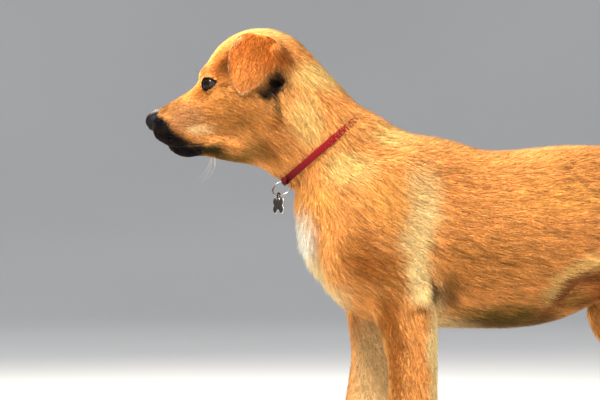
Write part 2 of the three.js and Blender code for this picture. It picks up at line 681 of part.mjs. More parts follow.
add('collar', band(-COLLAR.sunk, collarOuter, COLLAR.width / 2), 0xa5182a, 0.7);

// ---------------------------------------------------------------- loop, ring and tag
// The ring hangs from a small loop on the collar, a little to the left of the throat, and the
// tag hangs from the ring. The ring's plane faces `facing` and its highest point is `above`.
const hang = rad(180 - RING.around);
const loopCentre = new THREE.Vector3(
  ...roundNeck(hang, neckRadius(hang) + collarOuter + LOOP.out));
const upright = new THREE.Vector3(0, 0, 1);
const facing = new THREE.Vector3(0.65, -0.37, 0.67).normalize();
const above = upright.clone().projectOnPlane(facing).normalize();
const wireWay = new THREE.Vector3().crossVectors(facing, above);
const loopRound = new THREE.Shape().absarc(0, 0, LOOP.radius, 0, 2 * Math.PI);
loopRound.holes.push(new THREE.Path().absarc(0, 0, LOOP.hole, 0, 2 * Math.PI));
const loopBand = new THREE.ExtrudeGeometry(
  loopRound, { depth: LOOP.width, curveSegments: 4, bevelEnabled: false });
loopBand.translate(0, 0, -LOOP.width / 2);
const loop = placed(loopBand, facing.clone().negate(), above, wireWay, loopCentre)
  .subtract(band(-COLLAR.sunk - GAP, collarOuter + GAP, COLLAR.width / 2 + GAP));
add('collar_loop', loop, 0x6d1422, 0.7);
const ringCentre = loopCentre.clone().addScaledVector(above, -RING.radius);
const ring = new THREE.TorusGeometry(RING.radius, RING.wire, 5, 18);
add('collar_ring', placed(ring, wireWay, above, facing, ringCentre), 0xb9bcc0, 0.3, 1);

const eyeletCentre = ringCentre.clone().addScaledVector(above, -RING.radius);
const eyelet = placed(new THREE.TorusGeometry(EYELET.radius, EYELET.wire, 4, 8),
  facing.clone().negate(), above, wireWay, eyeletCentre);
const tagWay = new THREE.Vector3(0.89, 0.46, 0).normalize();
const tagFace = new THREE.Vector3().crossVectors(tagWay, upright);
const tagCentre = eyeletCentre.clone().addScaledVector(
  upright, EYELET.wire * 2 - EYELET.radius - TAG.height / 2);
const tagPiece = (geometry, x, y) => {
  geometry.translate(x, y, 0);
  return placed(geometry, tagWay, upright, tagFace, tagCentre);
};
const lobe = (across, up) => {
  const disc = new THREE.CylinderGeometry(TAG.lobe, TAG.lobe, TAG.thickness, 8);
  disc.rotateX(Math.PI / 2);
  return tagPiece(disc, across * (TAG.width / 2 - TAG.lobe), up * (TAG.height / 2 - TAG.lobe));
};
const shank = tagPiece(
  new THREE.BoxGeometry(TAG.width - 2 * TAG.lobe, TAG.waist, TAG.thickness), 0, 0);
const lug = tagPiece(
  new THREE.BoxGeometry(EYELET.lug, 2 * EYELET.lug, TAG.thickness), 0, TAG.height / 2 - EYELET.lug);
const tag = [lobe(1, 1), lobe(1, -1), lobe(-1, 1), lobe(-1, -1), lug, eyelet]
  .reduce((whole, piece) => whole.add(piece), shank);
add('tag', tag, 0x3a3532, 0.5, 0.6);

// ---------------------------------------------------------------- trunk and tail
// The forelegs are parted from the trunk by a plane that rises outwards along each side of the
// chest, the hind legs by one that rises to the rear.
const HIND_CUT = frameAt(HIND_CUT_AT.y, HIND_CUT_AT.z, HIND_CUT_AT.pitch);
const foreBlock = (side, grow) => {
  const geometry = new THREE.BoxGeometry(2 * BEYOND, BEYOND, BEYOND);
  geometry.translate(0, 0, -BEYOND / 2 + grow);
  geometry.rotateY(-rad(FORE_CUT.slope));
  geometry.translate(FORE_CUT.inner, FORE_CUT.rear - BEYOND / 2, FORE_CUT.height);
  geometry.scale(side, 1, 1);
  return solidOf(geometry);
};
const hindBlock = (grow) => boxSolid(
  HIND_CUT, [-BEYOND, -BEYOND, -BEYOND], [grow, BEYOND, grow]);
const aheadOfTrunk = boxSolid(
  NECK, [NECK_BASE - CUT / 2, -BEYOND, -BEYOND], [BEYOND, BEYOND, BEYOND]);
const trunk = net(dog, GRIDS.trunk).subtract(aheadOfTrunk).subtract(foreBlock(1, CUT / 2))
  .subtract(foreBlock(-1, CUT / 2)).subtract(hindBlock(CUT / 2));
add('trunk', trunk, COAT.gold, 0.9);
const tail = net(blend(10, tailMass, torso), GRIDS.tail).subtract(net(dog, GRIDS.trunk, TAIL_GAP));
add('tail', tail, COAT.gold, 0.9);

// ---------------------------------------------------------------- legs, paws and claws
const slab = (low, high) => boxSolid(LEVEL, [-BEYOND, -BEYOND, low], [BEYOND, BEYOND, high]);
const clawSolid = (paw, toe, side, step) => {
  const root = new THREE.Vector3(...clawRoot(paw, toe, side, step));
  const tip = new THREE.Vector3(...clawTip(paw, toe, side, step));
  const cone = new THREE.ConeGeometry(CLAW_RADIUS, root.distanceTo(tip), 6, 1);
  const coneWay = new THREE.Vector3(0, 1, 0);
  cone.applyQuaternion(new THREE.Quaternion().setFromUnitVectors(
    coneWay, tip.clone().sub(root).normalize()));
  cone.translate(...root.add(tip).multiplyScalar(0.5));
  return solidOf(cone);
};
const LIMBS = [
  { part: 'fore', paw: FORE_PAW, top: PAW_TOP.fore, stride: FORE_STRIDE, grid: GRIDS.foreleg,
    block: (side) => foreBlock(side, -CUT / 2) },
  { part: 'hind', paw: HIND_PAW, top: PAW_TOP.hind, stride: HIND_STRIDE, grid: GRIDS.hindleg,
    block: () => hindBlock(-CUT / 2) },
];
for (const [side, name] of SIDES) {
  for (const { part, paw, top, stride, grid, block } of LIMBS) {
    const leg = net(dog, onSide(grid, side)).intersect(block(side))
      .intersect(slab(top + CUT / 2, BEYOND));
    add(`${part}leg_${name}`, leg, COAT.gold, 0.9);
    const step = side > 0 ? 0 : stride;
    const gridOfPaw = onSide(pawGrid(paw, step), side);
    add(`${part}paw_${name}`, net(dog, gridOfPaw).intersect(slab(0, top - CUT / 2)), COAT.gold, 0.9);
    const pawGrown = net(dog, gridOfPaw, GAP);
    TOES.forEach((toe, n) => add(`claw_${part}_${name}_${n + 1}`,
      clawSolid(paw, toe, side, step).subtract(pawGrown), 0x2b2522, 0.4));
  }
}

// The origin is the centre of the bottom of the whole dog's box.
const box = new THREE.Box3().setFromObject(group);
group.position.set(-(box.min.x + box.max.x) / 2, -(box.min.y + box.max.y) / 2, -box.min.z);
export default group;
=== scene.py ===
import math

import bpy
import numpy as np
from mathutils import Euler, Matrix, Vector


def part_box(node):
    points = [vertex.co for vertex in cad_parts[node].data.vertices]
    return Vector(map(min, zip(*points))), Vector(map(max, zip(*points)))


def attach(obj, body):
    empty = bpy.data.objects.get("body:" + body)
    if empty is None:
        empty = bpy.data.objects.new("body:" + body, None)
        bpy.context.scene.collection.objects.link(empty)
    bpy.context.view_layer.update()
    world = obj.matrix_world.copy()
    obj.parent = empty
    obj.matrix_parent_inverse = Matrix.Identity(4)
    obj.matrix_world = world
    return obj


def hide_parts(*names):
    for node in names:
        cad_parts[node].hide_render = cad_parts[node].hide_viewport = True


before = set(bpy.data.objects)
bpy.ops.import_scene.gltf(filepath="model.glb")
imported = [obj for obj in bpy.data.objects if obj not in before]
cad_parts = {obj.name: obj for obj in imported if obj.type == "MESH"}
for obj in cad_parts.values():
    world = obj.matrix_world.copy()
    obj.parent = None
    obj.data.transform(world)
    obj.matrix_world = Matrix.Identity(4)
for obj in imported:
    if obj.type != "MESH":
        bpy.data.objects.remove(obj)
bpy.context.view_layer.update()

# A tan puppy of about four months, in its coat. The anatomy is worked in millimetres in a frame
# whose floor is z = 0; the dog faces -Y and its left side is +X. to_row() takes it to the part's
# own frame, in metres.

# ------------------------------------------------------------------ driving sizes, mm
HEAD_PITCH = 22
NECK_PITCH = -44
EYE = np.array([25.5, -261.0, 454.5])
EYE_RADIUS = 10.0
FORE_PAW = dict(x=50, y=-56, length=78, width=54, height=37)
HIND_PAW = dict(x=55, y=262, length=74, width=50, height=33)
# how far the right paw stands ahead of the left one, and how high its leg swings from
FORE_STRIDE, FORE_PIVOT = 63, 375
HIND_STRIDE, HIND_PIVOT = 30, 300
COLLAR_AT = dict(y=-140, z=384.5, pitch=-49)
COLLAR_WIDTH = 10
FLAP = dict(fold_y=-212, fold_z=504, length=64, lean=15.5, x=49.5, thick=1.5)

low_eye, high_eye = (np.array(corner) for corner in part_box("eye_left"))
SHIFT = (low_eye + high_eye) / 2 * 1000 - EYE


def to_row(points):
    """Anatomy millimetres to the part's own frame, in metres."""
    return (np.asarray(points, float) + SHIFT) / 1000


# ------------------------------------------------------------------ vectors
TURN = 2 * math.pi


def unit(vectors):
    """A vector, or each row of vectors, made one long."""
    return vectors / np.maximum(np.linalg.norm(vectors, axis=-1, keepdims=True), 1e-9)


def flattened(vectors, normals):
    """The vectors' parts along the surface, made one long."""
    return unit(vectors - (vectors * normals).sum(1, keepdims=True) * normals)


# ------------------------------------------------------------------ field tools
def smooth_min(a, b, k):
    """The smaller of two fields, with a round fillet where they come within k of each other."""
    h = np.maximum(k - np.abs(a - b), 0) / k
    return np.minimum(a, b) - h * h * k / 4


def smooth_max(a, b, k):
    return -smooth_min(-a, -b, k)


def blend(k, *fields):
    """Bodies joined with fillets."""
    def field(x, y, z):
        d = fields[0](x, y, z)
        for other in fields[1:]:
            d = smooth_min(d, other(x, y, z), k)
        return d
    return field


def carve(k, body, *tools):
    """A body with the tools cut out of it."""
    def field(x, y, z):
        d = body(x, y, z)
        for tool in tools:
            d = smooth_max(d, -tool(x, y, z), k)
        return d
    return field


def both_sides(field):
    return lambda x, y, z: field(np.abs(x), y, z)


class Plane:
    """A frame in the mid-plane: `along` points forward and down by `pitch`, `up` is across it."""

    def __init__(self, y, z, pitch):
        self.y, self.z = y, z
        self.c, self.s = math.cos(math.radians(pitch)), math.sin(math.radians(pitch))

    def local(self, y, z):
        y, z = y - self.y, z - self.z
        return -y * self.c - z * self.s, -y * self.s + z * self.c

    def world(self, along, up):
        return self.y - along * self.c - up * self.s, self.z - along * self.s + up * self.c


UPRIGHT = Plane(0, 0, -90)   # along is z, up is y
LEVEL = Plane(0, 0, 0)       # along is -y, up is z
HEAD = Plane(-266, 455, HEAD_PITCH)
NECK = Plane(-143.5, 388, NECK_PITCH)
COLLAR = Plane(COLLAR_AT["y"], COLLAR_AT["z"], COLLAR_AT["pitch"])


USUAL_SECTION = [2, 0, 0]    # squareness, egg and sideways centre, where a row leaves them out


def through(stations, values, at):
    """A smooth curve through (station, value) pairs, its slopes taken from the neighbours."""
    stations, values = np.asarray(stations, float), np.asarray(values, float)
    before, after = np.arange(-1, len(stations) - 1).clip(0), np.arange(1, len(stations) + 1)
    after = after.clip(0, len(stations) - 1)
    slopes = (values[after] - values[before]) / (stations[after] - stations[before])
    at = np.clip(at, stations[0], stations[-1])
    i = np.clip(np.searchsorted(stations, at, side="right") - 1, 0, len(stations) - 2)
    step = stations[i + 1] - stations[i]
    t = (at - stations[i]) / step
    t2, t3 = t * t, t * t * t
    return ((2 * t3 - 3 * t2 + 1) * values[i] + (t3 - 2 * t2 + t) * step * slopes[i]
            + (3 * t2 - 2 * t3) * values[i + 1] + (t3 - t2) * step * slopes[i + 1])


def loft(plane, rows):
    """A body through sections: along, top, bottom, half width, then, where they differ from the
    usual ones, squareness, egg (narrower upwards) and sideways centre."""
    columns = np.array([row + USUAL_SECTION[len(row) - 4:] for row in rows], float).T
    first, last = columns[0][0], columns[0][-1]
    dense = np.arange(first, last + 0.5, 0.5)
    tables = [through(columns[0], column, dense) for column in columns[1:]]

    def field(x, y, z):
        along, up = plane.local(y, z)
        at = np.clip(along, first, last)
        top, bottom, half, square, egg, middle = (np.interp(at, dense, t) for t in tables)
        centre = (top + bottom) / 2
        v = (up - centre) / ((top - bottom) / 2)
        width = half * (1 - egg * np.clip(v, -1.2, 1.2))
        ratio = (np.abs((x - middle) / width) ** square + np.abs(v) ** square) ** (1 / square)
        reach = np.hypot(x - middle, up - centre)
        side = reach - reach / np.maximum(ratio, 1e-6)
        past = np.maximum(first - along, along - last)
        return np.where(past > 0, np.hypot(np.maximum(side, 0), past), np.maximum(side, past))
    return field


def mass(plane, place, radii):
    """An ellipsoid: place and radii are [along, sideways, up]."""
    def field(x, y, z):
        along, up = plane.local(y, z)
        p = (along - place[0], x - place[1], up - place[2])
        near = np.sqrt(sum((q / r) ** 2 for q, r in zip(p, radii)))
        far = np.sqrt(sum((q / r ** 2) ** 2 for q, r in zip(p, radii)))
        return near * (near - 1) / np.maximum(far, 1e-6)
    return field


def chain(stops):
    """Tapering round links. Each stop is (x, y, z, radius)."""
    def field(x, y, z):
        best = None
        for a, b in zip(stops, stops[1:]):
            way = [q - p for p, q in zip(a[:3], b[:3])]
            dot = (x - a[0]) * way[0] + (y - a[1]) * way[1] + (z - a[2]) * way[2]
            t = np.clip(dot / sum(w * w for w in way), 0, 1)
            gap = np.sqrt((x - a[0] - t * way[0]) ** 2 + (y - a[1] - t * way[1]) ** 2
                          + (z - a[2] - t * way[2]) ** 2)
            d = gap - a[3] - t * (b[3] - a[3])
            best = d if best is None else np.minimum(best, d)
        return best
    return field


# ------------------------------------------------------------------ head
muzzle = loft(HEAD, [
    [-30, 19, -60, 41, 2.1, 0.1],
    [-8, 17, -62, 38, 2.1, 0.15],
    [4, 10, -62, 33.5, 2.2, 0.2],
    [16, 3, -60, 30, 2.3, 0.26],
    [34, -1, -57, 27, 2.4, 0.26],
    [52, -3.5, -51, 24.5, 2.4, 0.2],
    [64, -5, -44.5, 22, 2.3, 0.12],
    [71, -7, -39, 18.5, 2.2, 0.05],
    [75.5, -12, -34, 13.5, 2.1],
])
lower_jaw = loft(HEAD, [
    [-60, -50, -102, 34],
    [-30, -48, -108, 36],
    [-5, -50, -96, 32],
    [18, -50, -82, 26, 2.1, -0.1],
    [36, -50, -70, 21, 2.2, -0.1],
    [50, -44, -66, 18.5, 2.2, -0.1],
    [58, -40, -61, 16, 2.2],
    [65, -38, -52.5, 12],
])
skull = mass(HEAD, [-54, 0, -6], [56.5, 43.5, 46.5])
nape = mass(HEAD, [-74, 0, -26], [43, 43, 47])
cheek = both_sides(mass(HEAD, [-30, 27, -32], [42, 22, 34]))
jaw_angle = both_sides(mass(HEAD, [-46, 25, -64], [34, 21, 34]))
brow = both_sides(mass(HEAD, [-10, 19, 9], [16, 14, 10]))
eye_hollow = both_sides(mass(HEAD, [8, 41, -3], [15, 11, 10]))
ear_hollow = both_sides(mass(Plane(-190, 456, 0), [0, 51, 0], [10, 15, 10]))
head_mass = carve(5, blend(11, skull, nape, muzzle, lower_jaw, cheek, jaw_angle, brow),
                  eye_hollow, ear_hollow)

nose_plate = mass(HEAD, [66, 0, -14], [13, 13.5, 10])
nose_wing = both_sides(mass(HEAD, [69, 8.5, -17], [10.5, 7.5, 9.5]))
nostril = both_sides(mass(HEAD, [75, 8, -17], [7, 2.8, 3.4]))
nose_pad = carve(2, blend(5, nose_plate, nose_wing), nostril)

# ------------------------------------------------------------------ ears
FLAP_WIDTH = ([-4, 0, 5, 12, 20, 32, 43, 54, 61, 64], [8, 14, 18.5, 22.5, 24, 23.5, 19.5, 12, 6, 1])
FLAP_ALONG = (math.cos(math.radians(FLAP["lean"])), math.sin(math.radians(FLAP["lean"])))
ear_root = both_sides(chain([(37, -188, 474, 11), (43, -194, 491, 9)]))
ear_fold = both_sides(chain([(46, -228, 499, 4.5), (43, -199, 499, 6)]))


def flap_places(y, z):
    """Distances down the flap from the fold and back across it."""
    c, s = FLAP_ALONG
    y, z = y - FLAP["fold_y"], z - FLAP["fold_z"]
    return -y * s - z * c, y * c - z * s


def flap(x, y, z):
    """The ear's hanging leaf: a thin curved sheet inside a rounded outline."""
    down, back = flap_places(y, z)
    share = np.clip(down, 0, FLAP["length"]) / FLAP["length"]
    stand = FLAP["x"] + 16 * share * (1 - share) + share - 0.01 * back * back
    half = through(*FLAP_WIDTH, down)
    outline = np.maximum(np.maximum(np.abs(back) - half, -4 - down), down - FLAP["length"])
    return smooth_max(np.abs(np.abs(x) - stand) - FLAP["thick"], outline, 3)


ear_web = both_sides(chain([(36, -204, 476, 8), (43, -220, 493, 5.5)]))
ear_leaf = blend(6, ear_fold, flap)
ear_base = blend(4, ear_root, ear_web)

# ------------------------------------------------------------------ neck and trunk
neck_mass = loft(NECK, [
    [-95, 65, -110.5, 62, 2, -0.1],
    [-60, 70, -93, 57, 2, -0.05],
    [-38, 71.5, -76, 52.5],
    [-20, 69.5, -60, 50.2],
    [-7, 64, -56, 49.2],
    [7, 62.5, -61, 48],
    [25, 64, -59, 47],
    [60, 65, -48, 44],
    [82, 61, -28, 39],
    [102, 57, -6, 32],
    [118, 49, 10, 22],
])
trunk_mass = loft(LEVEL, [
    [-302, 350, 300, 26],
    [-285, 364, 268, 50],
    [-250, 376, 240, 60],
    [-210, 384, 232, 62],
    [-160, 388.5, 214, 67, 2.1],
    [-115, 388.5, 195, 75, 2.1, 0.04],
    [-75, 384, 187.5, 81, 2.1, 0.06],
    [-35, 384, 186.5, 82, 2.1, 0.05],
    [0, 394.5, 187, 80, 2.1, 0.04],
    [40, 401, 188, 74, 2.1],
    [70, 400, 192, 64, 2.1, -0.05],
    [115, 388, 207, 56, 2.1, -0.1],
    [142, 366, 241, 43, 2, -0.1],
    [157, 335, 270, 26],
])
shoulder = both_sides(mass(Plane(-78, 300, 62), [0, 50, 0], [92, 26, 48]))
upper_arm = both_sides(mass(Plane(-80, 250, 150), [0, 54, 0], [68, 26, 40]))
thigh = both_sides(mass(Plane(240, 285, 100), [0, 45, 0], [86, 28, 62]))
rump = both_sides(mass(LEVEL, [-262, 30, 325], [40, 38, 44]))
tail = chain([
    (0, 286, 348, 17), (0, 303, 322, 15.5), (0, 315, 290, 14), (0, 323, 250, 12),
    (0, 329, 212, 10), (0, 336, 178, 7.5), (0, 344, 152, 3.5),
])

# ------------------------------------------------------------------ legs and paws
# Columns: height, rear, front, half width, squareness, egg, sideways centre.
fore_leg = loft(UPRIGHT, [
    [28, -28, -78, 20, 2.2, 0, 50],
    [50, -24, -68, 18.5, 2.2, 0, 50],
    [72, -19, -67, 18.5, 2.2, 0, 50.5],
    [92, -15, -69, 20.5, 2.2, 0, 51],
    [114, -15.5, -69.5, 19.5, 2.2, 0, 51.5],
    [150, -15.5, -70.5, 20.5, 2.2, 0, 52],
    [180, -15.5, -77, 22.5, 2.2, 0, 53.5],
    [200, -16, -84, 24, 2.2, 0, 54],
    [226, -16, -96, 24.5, 2.1, 0, 54],
    [255, -24, -112, 24, 2, 0, 54],
])
hind_leg = loft(UPRIGHT, [
    [24, 292, 236, 18.5, 2.2, 0, 54],
    [50, 300, 262, 14.5, 2.2, 0, 54],
    [74, 308, 268, 15, 2.2, 0, 54.5],
    [90, 314, 266, 16.5, 2.2, 0, 55],
    [108, 311, 250, 17, 2.2, 0, 56],
    [130, 300, 226, 19, 2.2, 0, 57],
    [155, 289, 198, 22, 2.2, 0, 57],
    [180, 285, 174, 25, 2.1, 0, 55],
    [210, 290, 163, 27, 2.1, 0, 52],
    [250, 300, 166, 28, 2, 0, 48],
    [300, 300, 190, 28, 2, 0, 44],
])
# Shares of the paw's width, length and width.
TOES = [(-0.36, 0.18, 0.165), (-0.125, 0.32, 0.175), (0.125, 0.32, 0.175), (0.36, 0.18, 0.165)]


def paw_field(paw):
    long, wide, high = paw["length"], paw["width"], paw["height"]
    instep = mass(LEVEL, [-paw["y"] - 0.1 * long, paw["x"], high * 0.5],
                  [long * 0.36, wide * 0.37, high * 0.52])
    heel = mass(LEVEL, [-paw["y"] - 0.2 * long, paw["x"], high * 0.22],
                [long * 0.28, wide * 0.36, high * 0.32])
    toes = [mass(LEVEL, [-paw["y"] + ahead * long, paw["x"] + across * wide, high * 0.4],
                 [long * 0.22, radius * wide, high * 0.48]) for across, ahead, radius in TOES]
    return blend(6, blend(2.5, *toes), blend(8, instep, heel))


def limb(leg, paw, stride, pivot):
    """A leg and its paw on both sides. The right one is mirrored and swung forward by `stride`."""
    whole = blend(9, leg, paw_field(paw))

    def field(x, y, z):
        swing = np.where(x < 0, stride * np.maximum(1 - z / pivot, 0), 0)
        return whole(np.abs(x), y + swing, z)
    return field


fore_limbs = limb(fore_leg, FORE_PAW, FORE_STRIDE, FORE_PIVOT)
hind_limbs = limb(hind_leg, HIND_PAW, HIND_STRIDE, HIND_PIVOT)
torso = blend(16, blend(22, trunk_mass, neck_mass), blend(24, shoulder, upper_arm), thigh, rump)
body_and_head = blend(16, torso, head_mass)


def coated(x, y, z):
    """The dog's outer form, out to the tips of its coat, without the ears."""
    limbs = np.minimum(fore_limbs(x, y, z), hind_limbs(x, y, z))
    return smooth_min(smooth_min(body_and_head(x, y, z), limbs, 14), tail(x, y, z), 10)


# ------------------------------------------------------------------ coat: lie, depth and length
def at_head(along, side, up):
    y, z = HEAD.world(along, up)
    return (side, y, z)


# name: place on the left side, reach, lie (sideways, back, up), depth, length and width of tufts
COAT = {
    "nose bridge": (at_head(50, 0, -4), 14, (0.1, 0.93, 0.3), 0.7, 3, 0.55),
    "muzzle": (at_head(46, 24, -28), 15, (0.1, 0.95, -0.15), 0.8, 3.2, 0.55),
    "lip": (at_head(28, 26, -55), 12, (0, 0.85, -0.5), 0.8, 3.4, 0.55),
    "chin": (at_head(50, 8, -64), 11, (0, 1, -0.1), 1, 4, 0.6),
    "stop": (at_head(6, 0, 8), 13, (0.25, 0.75, 0.6), 1, 3.6, 0.6),
    "under eye": (at_head(12, 32, -20), 12, (0.2, 0.95, -0.12), 1, 3.6, 0.6),
    "brow": (at_head(-8, 24, 20), 12, (0.35, 0.75, 0.5), 1.3, 4.5, 0.6),
    "forehead": (at_head(-24, 0, 38), 18, (0.1, 0.85, 0.5), 1.6, 5.5, 0.65),
    "crown": (at_head(-62, 0, 42), 22, (0.1, 1, 0), 2.5, 8, 0.75),
    "occiput": (at_head(-105, 0, 15), 22, (0, 0.75, -0.65), 4.5, 12.3, 0.84),
    "ear pit": ((48, -190, 455), 11, (0, 0.3, -0.95), 1.5, 4, 0.6),
    "temple": (at_head(-28, 42, 4), 15, (0.2, 0.97, -0.05), 1.5, 5, 0.65),
    "cheek": (at_head(-18, 46, -35), 18, (0.1, 0.93, -0.3), 2, 6.5, 0.7),
    "cheek rear": (at_head(-58, 46, -44), 18, (0, 0.6, -0.8), 3, 9, 0.8),
    "jaw": (at_head(5, 26, -72), 16, (0, 0.97, -0.2), 1.8, 6.5, 0.7),
    "jaw angle": (at_head(-45, 40, -78), 18, (0, 0.9, -0.35), 3, 9.5, 0.75),
    "throat": (at_head(-20, 0, -104), 24, (0, 0.95, -0.3), 3.5, 11.4, 0.84),
    "neck front": ((40, -165, 385), 26, (0, 0.6, -0.8), 5, 14.2, 0.88),
    "neck side": ((52, -135, 415), 26, (0, 0.3, -0.95), 5.5, 15.2, 0.92),
    "nape": ((0, -120, 455), 28, (0, 0.72, -0.69), 6, 16.1, 0.97),
    "throat low": ((0, -170, 335), 24, (0, 0.2, -0.98), 6, 17.1, 1.01),
    "neck base": ((62, -85, 370), 30, (0, 0.7, -0.7), 6, 16.1, 0.97),
    "withers": ((0, -50, 408), 34, (0.05, 0.97, -0.2), 6, 16.1, 1.01),
    "chest front": ((0, -166, 285), 34, (0.1, 0.1, -1), 7, 19.9, 1.14),
    "chest side": ((52, -140, 280), 28, (0.2, 0.5, -0.85), 5.5, 15.2, 0.97),
    "chest low": ((0, -110, 215), 34, (0, 0.85, -0.4), 5.5, 16.1, 1.06),
    "shoulder": ((78, -85, 325), 34, (0, 0.85, -0.5), 5, 13.3, 0.92),
    "arm": ((76, -85, 262), 28, (0, 0.93, -0.35), 4.5, 11.9, 0.88),
    "elbow": ((74, -26, 215), 20, (0, 0, -1), 2.4, 5.5, 0.8),
    "arm rear": ((78, -32, 256), 16, (0, 0.15, -0.98), 3, 6.5, 0.85),
    "behind arm": ((80, -8, 290), 30, (0, 0.93, -0.35), 5, 13.3, 0.92),
    "back": ((0, 80, 390), 55, (0.1, 0.99, -0.05), 5.5, 14.2, 1.01),
    "ribs": ((82, 60, 300), 50, (0, 0.97, -0.2), 5, 12.8, 0.92),
    "belly": ((0, 60, 190), 55, (0.1, 0.98, -0.1), 4.5, 12.3, 0.97),
    "flank": ((64, 165, 270), 34, (0, 0.96, -0.1), 4.5, 12.3, 0.92),
    "croup": ((20, 250, 372), 38, (0.15, 0.9, -0.4), 5.5, 14.2, 1.01),
    "thigh": ((66, 240, 285), 36, (0.1, 0.55, -0.82), 4.5, 12.3, 0.92),
    "buttock": ((30, 298, 285), 24, (0, 0.35, -0.93), 6, 16.1, 1.06),
    "stifle": ((66, 200, 205), 28, (0, 0.45, -0.9), 3.8, 10.4, 0.88),
    "gaskin": ((66, 255, 155), 24, (0, 0.45, -0.9), 2.8, 7, 0.8),
    "hock": ((56, 295, 92), 20, (0, 0, -1), 2, 5.5, 0.75),
    "hind pastern": ((54, 278, 52), 16, (0, -0.25, -1), 1.6, 5.5, 0.75),
    "hind paw": ((55, 248, 22), 18, (0, -0.85, -0.5), 1.3, 4.5, 0.7),
    "forearm": ((60, -45, 150), 30, (0, 0.18, -1), 2.8, 6.5, 0.8),
    "wrist": ((54, -42, 88), 18, (0, 0.05, -1), 2, 5, 0.75),
    "fore pastern": ((50, -45, 56), 16, (0, -0.25, -1), 1.6, 5.5, 0.75),
    "fore paw": ((50, -75, 22), 18, (0, -0.85, -0.5), 1.3, 4.5, 0.7),
    "tail root": ((0, 298, 335), 20, (0, 0.45, -0.9), 5, 15.2, 0.97),
    "tail": ((0, 323, 250), 30, (0, 0.15, -1), 4, 16.1, 0.97),
    "tail tip": ((0, 342, 165), 22, (0, 0.25, -1), 2.2, 14.2, 0.88),
}
FINENESS = 0.72          # tuft width, as a share of the table's
PLACES = np.array([row[0] for row in COAT.values()], float)
REACHES = np.array([row[1] for row in COAT.values()], float)
LIES = np.array([row[2] for row in COAT.values()], float)
SIZES = np.array([row[3:] for row in COAT.values()], float) * (1, 1, FINENESS)
EAR_LIE = np.array([0.15, -FLAP_ALONG[1], -FLAP_ALONG[0]])
EAR_SIZES = np.array([0.9, 4.6, 0.5])


def shares(points):
    """How much each of the coat's named places counts at each point."""
    p = np.array(points, float)
    swing = np.where(p[:, 1] < 100, FORE_STRIDE * (1 - p[:, 2] / FORE_PIVOT),
                     HIND_STRIDE * (1 - p[:, 2] / HIND_PIVOT))
    p[:, 1] += np.where(p[:, 0] < 0, swing, 0) * np.clip((230 - p[:, 2]) / 60, 0, 1)
    p[:, 0] = np.abs(p[:, 0])
    gaps = ((p[:, None, :] - PLACES) ** 2).sum(2) / (2 * REACHES ** 2)
    weights = np.exp(-(gaps - gaps.min(1, keepdims=True)))
    return weights / weights.sum(1, keepdims=True)


def depth_at(x, y, z):
    """The coat's depth: how far the skin lies inside the outer form."""
    return (shares(np.stack([x, y, z], 1)) @ SIZES)[:, 0]


# ------------------------------------------------------------------ skin
LID_ROUND = 1.0          # how far the lids' middle stands off the eyeball
LID_HALF = 0.75          # half their thickness
EYE_SLANT = 16
SLIT_HALF, SLIT_ABOVE, SLIT_BELOW = 9.4, 6.4, 5.4
SLIT_DROP, SLIT_AHEAD = 1.6, 2.3
REAR_STRETCH, FRONT_STRETCH = 1.25, 0.75

eye_way = unit([0.72, -0.68, 0.12])
eye_back = unit(np.cross([0, 0, 1], eye_way))
eye_up = np.cross(eye_way, eye_back)
slant = math.radians(EYE_SLANT)
eye_back, eye_up = (eye_back * math.cos(slant) + eye_up * math.sin(slant),
                    eye_up * math.cos(slant) - eye_back * math.sin(slant))


def eye_places(x, y, z):
    """Distance from the eyeball's centre, then forward, back along the slit and up across it."""
    p = np.stack([np.abs(x) - EYE[0], y - EYE[1], z - EYE[2]], -1)
    return np.linalg.norm(p, axis=-1), p @ eye_way, p @ eye_back, p @ eye_up


def slit(back, up):
    """Below 0 inside the almond between the lids: where two discs overlap."""
    up, back = up + SLIT_DROP, back + SLIT_AHEAD
    back = back / np.where(back > 0, REAR_STRETCH, FRONT_STRETCH)
    discs = []
    for high, sign in ((SLIT_ABOVE, 1), (SLIT_BELOW, -1)):
        radius = (SLIT_HALF ** 2 + high ** 2) / (2 * high)
        discs.append(np.hypot(back, up + sign * (radius - high)) - radius)
    return np.maximum(*discs)


# the line between the lips, in the head's frame: along, up
MOUTH = ([24, 34, 46, 60, 72, 80], [-60.5, -57.5, -53.5, -48, -42, -39])
LIP_CORNER = 24
LIP_GAP, LIP_DEPTH = 0.55, 3.5      # half the groove's width, and its depth
PAD_SUNK = 1.4                      # how far the nose's socket clears its leather
SOCKET_GAP, EYE_GAP = 0.4, 0.1      # how far the socket and the lids clear the eyeball


def mouth_line(along, up):
    """Height above the line between the lips."""
    return up - through(*MOUTH, along)


ear_crease = chain([(43, -191, 452, 4.5), (47, -189, 436, 2.2), (48, -186, 420, 1)])
leg_groove = chain([(79, -27, 196, 1.5), (76.5, -27, 170, 2), (74.5, -27, 125, 1.2)])
elbow_crease = chain([(80, -14, 207, 1.2), (80, -26, 204, 2.2), (80, -50, 202, 1)])
elbow_knob = mass(LEVEL, [34, 63, 222], [13, 18, 20])
ELBOW_SUNK = 2.5
elbow_gap = chain([(76, -29, 286, 1.5), (72, -26, 250, 4), (69, -21, 232, 5), (58, -17, 206, 4)])
flank_fold = chain([(57, 166, 264, 4), (56, 138, 255, 4), (55, 119, 240, 4), (48, 106, 222, 3)])
flank_crease = chain([(60, 170, 253, 4), (56, 143, 244, 4.5), (52, 126, 233, 5), (47, 117, 219, 5),
                      (35, 99, 202, 4)])
ear_pit = mass(LEVEL, [190, 47, 455], [11, 17, 10])


def forelimb_back(x, y, z):
    """The y of a foreleg's points, with the right leg's stride taken off."""
    return y + np.where(x < 0, FORE_STRIDE * np.maximum(1 - z / FORE_PIVOT, 0), 0)


